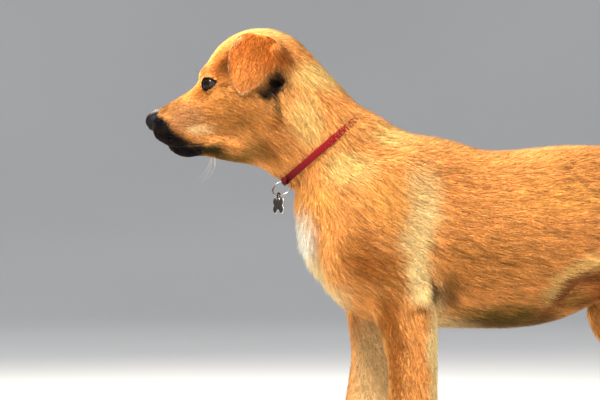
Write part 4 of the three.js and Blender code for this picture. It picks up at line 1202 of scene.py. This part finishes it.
def tuft_colours(root, lie, depth, length, own, on_ear, rng):
    """The colours of a tuft's two base corners, ridge and tip: dark at the root, partly painted shade,
    pale at the tip.
    """
    count = len(root)
    fine = np.clip((length - 4) / 7, 0, 1)
    streak = fine * streaks(root, lie, 1.6, 3.2) + (1 - fine) * streaks(root, lie, 0.9, 1.4)
    colour = markings(root + rng.normal(0, 1.6, root.shape), on_ear)
    contrast = np.interp(colour[:, 1], [0.3, 0.7], [1.0, 0.55])
    own_tone = rng.normal(0, 1, count) * (0.24 - 0.08 * fine)
    tone = 1.02 + contrast * (1.3 * streak + 0.12 * (own - 0.5) + own_tone)
    warm = np.array([0.0, 0.2, 0.4]) * (0.6 * streak + rng.normal(0, 0.05, count))[:, None]
    colour = colour * np.clip(tone, 0.4, 1.6)[:, None] * (1 + warm)
    # painted shade: the roots are darker than the coat's colour, and darker still where the coat is
    # deep, for the shade among the hairs
    deep = 0.64 + 0.2 * np.clip(1 - depth / 3, 0, 1)
    dark = colour * deep[:, None] * np.array([1.0, 0.88, 0.72])
    pale = colour * np.array([1.1, 1.14, 1.16])
    return np.stack([dark, dark, 0.5 * (dark + colour), pale], 1)


def tufts():
    """Each tuft's root, its four corners (base left and right, ridge, tip), their colours, on ear."""
    rng = np.random.default_rng(COAT_SEED)
    root, normal, lie, size, shaggy, on_ear = rooted(rng)
    count = len(root)
    depth, length, width = size.T
    wave = noise(root, 26, 21) * 0.22 + noise(root, 9, 22) * 0.16
    lie = turned(lie, normal, wave + rng.normal(0, 0.09, count))
    length = length * rng.uniform(0.75, 1.25, count)
    width = width * rng.uniform(0.75, 1.3, count)
    high = depth * rng.uniform(0.6, 1.2, count) + shaggy * rng.exponential(0.8, count)
    stray = rng.random(count) < STRAYS
    high += stray * rng.uniform(0.05, 0.16, count) * length
    width = np.where(stray, 0.6 * width, width)
    tip = root + lie * length[:, None]
    lock, own = nearest_lock(root, LOCK_SIZE, 31)
    pull = lock + lie * length[:, None] - tip
    pull -= (pull * normal).sum(1, keepdims=True) * normal
    tip += pull * (0.3 * np.clip((length - 11) / 6, 0, 1))[:, None]
    tip += normal * (high - in_batches(lambda q: skin_field(*q.T), tip).clip(-3, 6))[:, None]
    tip[:, 2] = np.maximum(tip[:, 2], 0.4)
    tip = pressed(root, tip, normal, depth, rng)
    ahead = unit(tip - root)
    across = unit(np.cross(ahead, normal)) * (0.5 * width)[:, None]
    base = root - normal * ROOT_SUNK
    ridge = root + normal * (0.45 * width)[:, None] + ahead * (0.12 * length)[:, None]
    points = np.stack([base - across, base + across, ridge, tip], 1)
    return root, points, tuft_colours(root, lie, depth, length, own, on_ear, rng), on_ear


TETRA = np.array([[0, 2, 3], [2, 1, 3], [1, 0, 3], [0, 1, 2]])
PATCH = 0.003 * np.array([[0, 0], [1, 0], [0.5, 0.3], [0.5, 1]])


def coat_piece(name, root, points, shades, part, material):
    """One stretch of coat: its tufts as closed solids, with a patch of the map for each."""
    count = len(root)
    faces = (np.arange(count)[:, None, None] * 4 + TETRA).reshape(-1)
    piece = mesh_object(name, points.reshape(-1, 3), faces, np.full(4 * count, 3))
    paint(piece, shades.reshape(-1, 3))
    uv = piece.data.uv_layers.new(name="OFBake")
    at = (unwrap(root, part)[:, None, None, :] + PATCH[TETRA]).reshape(-1, 2)
    uv.data.foreach_set("uv", at.astype(np.float32).ravel())
    finish_piece(piece, "ear_coat" if part == EAR else "coat", material)


def coat():
    fur = coat_material("coat_hair", 0.65, 1800, 0.2)
    root, points, shades, on_ear = tufts()
    part_at, on_left = part_of(root, on_ear), root[:, 0] > 0
    for part, name in enumerate(NAMES):
        here = part_at == part
        sides = {"": here} if part in UNDIVIDED else {"_left": here & on_left, "_right": here & ~on_left}
        for side, chosen in sides.items():
            coat_piece(f"coat_{name}{side}", root[chosen], points[chosen], shades[chosen], part, fur)


coat()


# ------------------------------------------------------------------ nose
NOSE_STEP = 0.75
PHILTRUM_LOW, PHILTRUM_BACK = -16, 66       # in the head's frame: up, along
wing_slit = chain([(8, 77, -17, 3.0), (11, 75, -18.5, 2.0), (15.5, 70, -17.5, 0.9)])


def nose_field(x, y, z):
    """The nose pad with its nostrils, their slits and the groove between them."""
    along, up = HEAD.local(y, z)
    groove = np.hypot(x, np.maximum(up - PHILTRUM_LOW, 0)) - 0.5
    philtrum = np.maximum(groove, PHILTRUM_BACK - along)
    d = smooth_max(nose_pad(x, y, z), -philtrum, 1.0)
    return smooth_max(d, -wing_slit(np.abs(x), along, up), 1.0)


def nose():
    n = Nodes("nose_leather")
    pebbles = n.add("ShaderNodeTexVoronoi", Vector=n.place(), Scale=900.0).outputs["Distance"]
    black = n.ramp(n.noise(350, 3), (0.3, (0.004, 0.0035, 0.004)), (0.75, (0.012, 0.010, 0.011)))
    leather = n.shade(Base_Color=black, Roughness=0.5, Specular_IOR_Level=0.07,
                      Normal=n.bump(pebbles, 0.5, 0.0004))
    axes = [graded((-18, 18, NOSE_STEP)), graded((-348, -302, NOSE_STEP)), graded((404, 452, NOSE_STEP))]
    points, quads = net(nose_field, axes)
    points = settle(nose_field, points)
    piece = mesh_object("nose_leather", points, quads.ravel(), np.full(len(quads), 4))
    finish_piece(piece, "nose_leather", leather, "nose")


nose()


# ------------------------------------------------------------------ eyes
GAZE = unit([0.55, -0.83, 0.06])
PUPIL, LIMBUS = 14, 41      # degrees from the middle of the gaze
CORNEA = 0.35               # how far the cornea bulges, mm
EYE_RINGS = [0, 5, 10, 13, 14.5, 18, 24, 30, 34, 36, 38, 41, 44, 52, 64, 80, 100, 125, 150, 180]
# pupil, iris, limbus and white, each up to an angle
EYE_SHADES = [(PUPIL, (0.003, 0.003, 0.004)), (LIMBUS - 3, (0.008, 0.004, 0.0025)),
              (LIMBUS + 3, (0.006, 0.004, 0.004)), (181, (0.03, 0.02, 0.017))]


def eyeball(side, name, glass):
    """A ball of rings round the gaze, bulging at the cornea, with its shades on the vertices."""
    gaze = GAZE * [side, 1, 1]
    right = unit(np.cross([0, 0, 1], gaze))
    above = np.cross(gaze, right)
    centre = EYE * [side, 1, 1]
    turns = np.linspace(0, TURN, 40, endpoint=False)
    fibres = 1 + 0.25 * noise(np.stack([np.cos(turns) * 9, np.sin(turns) * 9, 0 * turns], 1), 1.1, 51)
    rings, shades = [], []
    for ring in EYE_RINGS:
        t = math.radians(min(max(ring, 0.5), 179.5))
        radius = EYE_RADIUS + CORNEA * max(0, 1 - (ring / LIMBUS) ** 2)
        rings.append([centre + radius * (
            math.cos(t) * gaze + math.sin(t) * (math.cos(a) * right + math.sin(a) * above))
            for a in turns])
        base = next(shade for edge, shade in EYE_SHADES if ring < edge)
        shades.append(np.clip(fibres, 0.6, 1.4)[:, None] * base)
    piece = rings_object(f"eyeball_{name}", [rings])
    paint(piece, np.concatenate(shades))
    finish_piece(piece, "eye", glass, f"eye_{name}")


def eyes():
    n = Nodes("eye_glass")
    glass = n.shade(Base_Color=n.stored_colour(), Roughness=0.2, Specular_IOR_Level=0.05,
                    Coat_Weight=0.16, Coat_Roughness=0.02)
    eyeball(1, "left", glass)
    eyeball(-1, "right", glass)


eyes()


# ------------------------------------------------------------------ tubes
def tube(path, radii, sides):
    """Rings of points round a path."""
    path = np.asarray(path, float)
    ways = unit(np.gradient(path, axis=0))
    across = np.cross([0.01, 0.02, 1], ways[0])
    rows = []
    for place, way, radius in zip(path, ways, radii):
        across = unit(across - (across @ way) * way)
        over = np.cross(way, across)
        rows.append([place + radius * (math.cos(t) * across + math.sin(t) * over)
                     for t in np.linspace(0, TURN, sides, endpoint=False)])
    return np.array(rows)


# ------------------------------------------------------------------ claws
CLAW_RADIUS = 3.0
CLAW_ROOT, CLAW_TIP = (0.06, 0.52), (0.27, 0.14)    # ahead of the toe and up, in shares of the paw
CLAW_BOW = 1.21 * np.array([0, -0.55, 0.85])        # how far the claw's middle arches


def claw(paw, toe, side, shift):
    """A tapering horn from the toe's top down to the floor in front of it."""
    across, ahead, _ = toe

    def at(forward, height):
        return np.array([side * (paw["x"] + across * paw["width"]),
                         paw["y"] - (ahead + forward) * paw["length"] - shift,
                         height * paw["height"]])

    start, end = at(*CLAW_ROOT), at(*CLAW_TIP)
    t = np.linspace(0, 1, 9)
    path = start + t[:, None] * (end - start) + (4 * t * (1 - t))[:, None] * CLAW_BOW
    return tube(path, CLAW_RADIUS * 0.92 * (1 - t ** 1.8) ** 0.8 + 0.25, 10)


def claws():
    n = Nodes("claw_horn")
    brown = n.ramp(n.noise(300, 2, (1, 1, 3)), (0.3, (0.025, 0.018, 0.015)), (0.8, (0.09, 0.065, 0.05)))
    horn = n.shade(Base_Color=brown, Roughness=0.35,
                   Normal=n.bump(n.noise(900, 2, (3, 0.4, 1)), 0.25, 0.0003))
    for part, paw, stride in (("fore", FORE_PAW, FORE_STRIDE), ("hind", HIND_PAW, HIND_STRIDE)):
        for side, name, shift in ((1, "left", 0), (-1, "right", stride)):
            made = [claw(paw, toe, side, shift) for toe in TOES]
            nodes = [f"claw_{part}_{name}_{count}" for count in range(1, len(TOES) + 1)]
            finish_piece(rings_object(f"claws_{part}_{name}", made), "claw", horn, *nodes)


claws()


# ------------------------------------------------------------------ collar, ring and tag
# At the nape the collar sinks into the coat: degrees from the nape, and millimetres.
NAPE_ANGLES, NAPE_SINKS = [30, 46, 60, 90, 120], [4.4, 3.8, 2.2, 0.7, 0]
# painted shade: the collar's band darkens downwards towards the throat, for the shade at the throat
SHADED_FROM, SHADED_TO = 382, 342       # the band darkens downwards between these heights
LOOP_OUT, LOOP_RADIUS, LOOP_HOLE, LOOP_WIDTH = 3.5, 4.0, 2.2, 6.0
COLLAR_OUT = 0.4
RING_RADIUS, RING_WIRE, RING_AROUND = 11.0, 1.1, 25
TAG = dict(width=25, height=18, thickness=1.8, lobe=4.9, waist=11, lug=2.4)
# painted highlight: the tag's rim is painted lighter than its dark face, for the glints along its edge
TAG_RIM_HIGHLIGHT, TAG_FACE = (0.42, 0.38, 0.34), (0.045, 0.038, 0.034)
EYELET_RADIUS, EYELET_WIRE = 3.0, 0.8
UPWARDS = np.array([0, 0, 1.0])


def reach_of(inside, count, limit, rounds):
    """How far out each of `count` rays stays inside, found by halving."""
    near, far = np.zeros(count), np.full(count, float(limit))
    for _ in range(rounds):
        middle = (near + far) / 2
        within = inside(middle)
        near, far = np.where(within, middle, near), np.where(within, far, middle)
    return near


def round_neck(angle, radius, along=0.0):
    """A place at an angle from the nape, in the collar's plane or `along` the neck from it."""
    y, z = COLLAR.world(along, radius * np.cos(angle))
    return np.stack([radius * np.sin(angle), y, z], -1)


def neck_radius(angles):
    """How far the coat's surface stands from the collar's centre at each angle."""
    return reach_of(lambda r: coated(*round_neck(angles, r).T) < 0, len(angles), 110, 18)


def webbing_cloth():
    """Red webbing, with painted shade darkening it towards the throat."""
    n = Nodes("collar_webbing")
    place = n.place()
    level_band = n.add("ShaderNodeMapping", Vector=place,
                       Rotation=(math.radians(COLLAR_AT["pitch"]), 0, 0)).outputs[0]
    weave = n.add("ShaderNodeTexWave", {"wave_type": "BANDS", "bands_direction": "Y"}, Vector=level_band,
                  Scale=280.0, Distortion=0.6, Detail=2.0, Detail_Scale=2.0).outputs["Fac"]
    red = n.ramp(weave, (0.2, (0.09, 0.001, 0.003)), (0.8, (0.25, 0.003, 0.007)))
    # painted shade: darker towards the throat, by height
    level = n.add("ShaderNodeSeparateXYZ", Vector=place).outputs["Z"]
    low, high = (to_row([0, 0, z])[2] for z in (SHADED_TO, SHADED_FROM))
    share = n.add("ShaderNodeMapRange", Value=level, From_Min=low, From_Max=high).outputs[0]
    throat_shade = n.ramp(share, (0.0, grey(0.34)), (1.0, grey(1.0)))
    return n.shade(Base_Color=n.times(red, throat_shade), Roughness=0.8, Specular_IOR_Level=0.15,
                   Normal=n.bump(weave, 0.6, 0.0005))


def webbing(cloth):
    """The collar: a band with rounded edges and a raised line of stitches along each."""
    angles = np.linspace(0, TURN, 180, endpoint=False)
    from_nape = np.degrees(np.minimum(angles, TURN - angles))
    radius = neck_radius(angles) - np.interp(from_nape, NAPE_ANGLES, NAPE_SINKS)
    half = COLLAR_WIDTH / 2 - 1.2
    edge = [(-half, -2.2), (-half, -0.2), (0.5 - half, 0.2), (1.2 - half, 0.1), (2 - half, 0.3)]
    profile = edge + [(0, 0.36)] + [(-along, out) for along, out in edge[::-1]] + [(0, -2.4)]
    rings = [[round_neck(a, r + out, along) for along, out in profile]
             for a, r in zip(angles, radius)]
    piece = rings_object("collar_webbing", [rings + rings[:1]], close=False)
    finish_piece(piece, "collar_webbing", cloth, "collar")


def loop_strap(cloth, centre, facing, above, side):
    """The small loop under the collar that holds the ring."""
    half = LOOP_WIDTH / 2 - 0.2
    profile = [(LOOP_HOLE, -half), (LOOP_HOLE, half), (LOOP_RADIUS - 0.3, half),
               (LOOP_RADIUS, half - 0.4), (LOOP_RADIUS, 0.4 - half), (LOOP_RADIUS - 0.3, -half)]
    rings = [[centre + r * (math.cos(t) * facing + math.sin(t) * above) + w * side
              for r, w in profile] for t in np.linspace(0, TURN, 28)]
    piece = rings_object("collar_loop_strap", [rings], close=False)
    finish_piece(piece, "collar_webbing", cloth, "collar_loop")


def split_ring(centre, facing, above, side):
    """Two turns of wire side by side, as in a key ring."""
    t = np.linspace(0, 2 * TURN, 120)[:, None]
    swing = 0.52 * np.tanh(6 * (t / TURN - 1))
    path = centre + RING_RADIUS * (np.cos(t) * above + np.sin(t) * side) + swing * facing
    n = Nodes("ring_steel")
    steel = n.shade(Base_Color=(0.38, 0.36, 0.34, 1), Metallic=1.0,
                    Roughness=n.ramp(n.noise(700, 2), (0.3, grey(0.16)), (0.8, grey(0.34))))
    piece = rings_object("ring_steel", [tube(path, np.full(len(path), RING_WIRE / 2), 10)])
    finish_piece(piece, "ring_steel", steel, "collar_ring")


def tag_outline(x, y):
    """Below 0 inside the bone: four lobes, a shank, and a lug for the eyelet."""
    wide, high = TAG["width"] / 2 - TAG["lobe"], TAG["height"] / 2 - TAG["lobe"]
    lobe = np.hypot(np.abs(x) - wide, np.abs(y) - high) - TAG["lobe"]
    shank = np.maximum(np.abs(x) - wide, np.abs(y) - TAG["waist"] / 2)
    lug = np.hypot(x, y - TAG["height"] / 2 + 2.2) - TAG["lug"]
    return smooth_min(smooth_min(lobe, shank, 1.5), lug, 1.5)


def bone_tag(eyelet, facing, above):
    """A blank bone-shaped tag with rounded edges, on an eyelet."""
    way = unit([0.89, 0.46, 0])
    face = np.cross(way, UPWARDS)
    centre = eyelet + UPWARDS * (EYELET_WIRE * 2 - EYELET_RADIUS - TAG["height"] / 2)
    turns = np.linspace(0, TURN, 120, endpoint=False)
    edge = reach_of(lambda r: tag_outline(r * np.cos(turns), r * np.sin(turns)) < 0,
                    len(turns), 20, 20)
    thick = TAG["thickness"] / 2
    # how far in from the edge, and how high: the back, the round rim, then a slightly sunk face
    profile = [(6, -thick), (0.9, -thick), (0.5, 0.05 - thick), (0.12, 0.35 - thick), (0, 0),
               (0.12, thick - 0.35), (0.5, thick - 0.05), (0.9, thick), (1.3, thick - 0.16),
               (6, thick - 0.16)]
    rings = [[centre + way * r * math.cos(t) + UPWARDS * r * math.sin(t) + face * level
              for r, t in zip(np.maximum(edge - inset, 0.3), turns)] for inset, level in profile]
    n = Nodes("tag_metal")
    worn = n.ramp(n.noise(260, 3), (0.3, grey(0.6)), (0.7, grey(1.3)))
    metal = n.shade(Base_Color=n.times(n.stored_colour(), worn), Metallic=0.85, Roughness=0.33,
                    Normal=n.bump(n.noise(1500, 2), 0.15, 0.0002))
    piece = rings_object("tag_bone", [rings])
    # painted highlight: the rim rows take the light rim colour
    paint(piece, np.repeat([TAG_RIM_HIGHLIGHT if inset < 1 else TAG_FACE for inset, _ in profile], len(turns), 0))
    finish_piece(piece, "tag_metal", metal, "tag")
    t = np.linspace(0, TURN, 40)[:, None]
    path = eyelet + EYELET_RADIUS * (np.cos(t) * facing + np.sin(t) * above)
    wire = rings_object("tag_eyelet", [tube(path, np.full(len(path), EYELET_WIRE), 8)])
    finish_piece(wire, "tag_metal", metal)


def collar_and_tag():
    cloth = webbing_cloth()
    webbing(cloth)
    hang = math.radians(180 - RING_AROUND)
    hang_radius = float(neck_radius(np.array([hang]))[0])
    loop_centre = round_neck(hang, hang_radius + COLLAR_OUT + LOOP_OUT)
    facing = unit([0.65, -0.37, 0.67])
    above = unit(UPWARDS - facing[2] * facing)
    side = np.cross(facing, above)
    ring_centre = loop_centre - above * RING_RADIUS
    loop_strap(cloth, loop_centre, facing, above, side)
    split_ring(ring_centre, facing, above, side)
    bone_tag(ring_centre - above * RING_RADIUS, facing, above)


collar_and_tag()


# ------------------------------------------------------------------ whiskers
# place in the head's frame, way (forward, sideways, up), length, share by which it bends forward
WHISKERS = [
    ((23, 12, -73), (0.0, 0.5, -1.0), 33, 0.55), ((25, 13, -73), (0.25, 0.4, -1.0), 34, 0.5),
    ((22, 12, -73), (0.1, 0.6, -1.0), 25, 0.35), ((26, 11, -73), (0.35, 0.3, -1.0), 27, 0.6),
]
WHISKER_SEED = 5
MUZZLE_ROWS = 4     # rows of short dark whiskers on each side of the muzzle
BROW = [((4, 26, 14), (0.35, 0.8, 0.8), 12), ((2, 28, 13), (0.1, 0.9, 0.7), 14)]


def whisker(place, way, length, droop, thick, bend):
    """A hair that leaves the skin at a place of the left side, and droops and bends to its tip."""
    t = np.linspace(0, 1, 7)[:, None]
    forward, side, up = way
    way = unit([side, *np.subtract(HEAD.world(forward, up), HEAD.world(0, 0))])
    start = np.array(at_head(*place))
    path = start + way * length * t + np.array([0, -bend, -droop]) * length * t * t
    return tube(path, thick * (1 - 0.8 * t[:, 0]), 4)


def whiskers():
    rng = np.random.default_rng(WHISKER_SEED)
    pale = [whisker(place, way, length, 0.05, 0.1, bend) for place, way, length, bend in WHISKERS]
    dark = []
    for row in range(MUZZLE_ROWS):
        for along in np.linspace(42, 62, 5):
            up = -20 - 5.5 * row - 0.25 * (along - 40)
            place = (along + rng.uniform(-1, 1), 21.5 - 0.1 * (along - 40), up)
            way = (-0.35, 1.0, -0.15 + rng.uniform(-0.2, 0.2))
            dark.append(whisker(place, way, rng.uniform(8, 18), 0.08, 0.10, -0.02))
    dark += [whisker(place, way, length, 0.05, 0.09, -0.01) for place, way, length in BROW]
    for name, hairs, shade in (("whiskers_pale", pale, (0.62, 0.55, 0.42, 1)),
                               ("whiskers_dark", dark, (0.03, 0.02, 0.018, 1))):
        n = Nodes(name)
        hair = n.shade(Base_Color=shade, Roughness=0.45)
        mirrored = [row * [-1, 1, 1] for row in hairs]
        finish_piece(rings_object(name, hairs + mirrored), "coat", hair)


whiskers()


# ------------------------------------------------------------------ stage, camera and lights
# the floor's rings, in metres: radius and height
BOWL = ((0, 0), (2, 0), (5, 0), (7, 0.4), (8.3, 1.5), (9, 3.2), (9.2, 6))


def bowl():
    """A floor that turns up into a far round wall."""
    turns = np.linspace(0, TURN, 48, endpoint=False)
    rings = [[(radius * math.cos(t), radius * math.sin(t), height) for t in turns]
             for radius, height in BOWL]
    floor = rings_object("floor", [np.array(rings) * 1000 - SHIFT * [1, 1, 0]], close=False)
    n = Nodes("floor_paint")
    tone = n.ramp(n.noise(0.6, 2), (0.3, grey(0.50)), (0.7, grey(0.54)))
    floor.data.materials.append(n.shade(Base_Color=tone, Roughness=0.9))


def area_light(name, place, aim, size, watts, colour):
    light = bpy.data.lights.new(name, "AREA")
    light.size, light.energy, light.color = size, watts, colour
    lamp = bpy.data.objects.new(name, light)
    lamp.location = place
    lamp.rotation_euler = (Vector(aim) - Vector(place)).to_track_quat("-Z", "Y").to_euler()
    bpy.context.scene.collection.objects.link(lamp)


bowl()
AIM = to_row([0, -165, 328])
CAMERA_AWAY = 3.2
VIEW_WIDTH = 0.66       # what the picture's width spans at the aim's distance
SENSOR_WIDTH = 36
camera_data = bpy.data.cameras.new("camera")
camera_data.sensor_width = SENSOR_WIDTH
camera_data.lens = SENSOR_WIDTH * CAMERA_AWAY / VIEW_WIDTH
camera = bpy.data.objects.new("camera", camera_data)
camera.location = Vector(AIM) + Vector((CAMERA_AWAY, 0, 0))
camera.rotation_euler = (Vector(AIM) - camera.location).to_track_quat("-Z", "Y").to_euler()
bpy.context.scene.collection.objects.link(camera)
bpy.context.scene.camera = camera
area_light("key", (2.2, -1.2, 2.7), (0, -0.1, 0.35), 0.7, 270, (1, 0.98, 0.93))
area_light("top", (0.1, 0.2, 3.2), (0, 0, 0.3), 2.4, 75, (1, 0.98, 0.94))
area_light("fill", (2.6, 1.6, 1.0), (0, 0, 0.3), 2.0, 26, (0.95, 0.97, 1))
area_light("rim", (-1.5, -0.6, 1.7), (0, -0.05, 0.4), 0.8, 70, (1, 0.92, 0.78))
world = bpy.data.worlds.new("studio")
world.use_nodes = True
world.node_tree.nodes["Background"].inputs["Color"].default_value = (0.9, 0.93, 1, 1)
world.node_tree.nodes["Background"].inputs["Strength"].default_value = 0.62
bpy.context.scene.world = world
bpy.context.scene.view_settings.view_transform = "Standard"
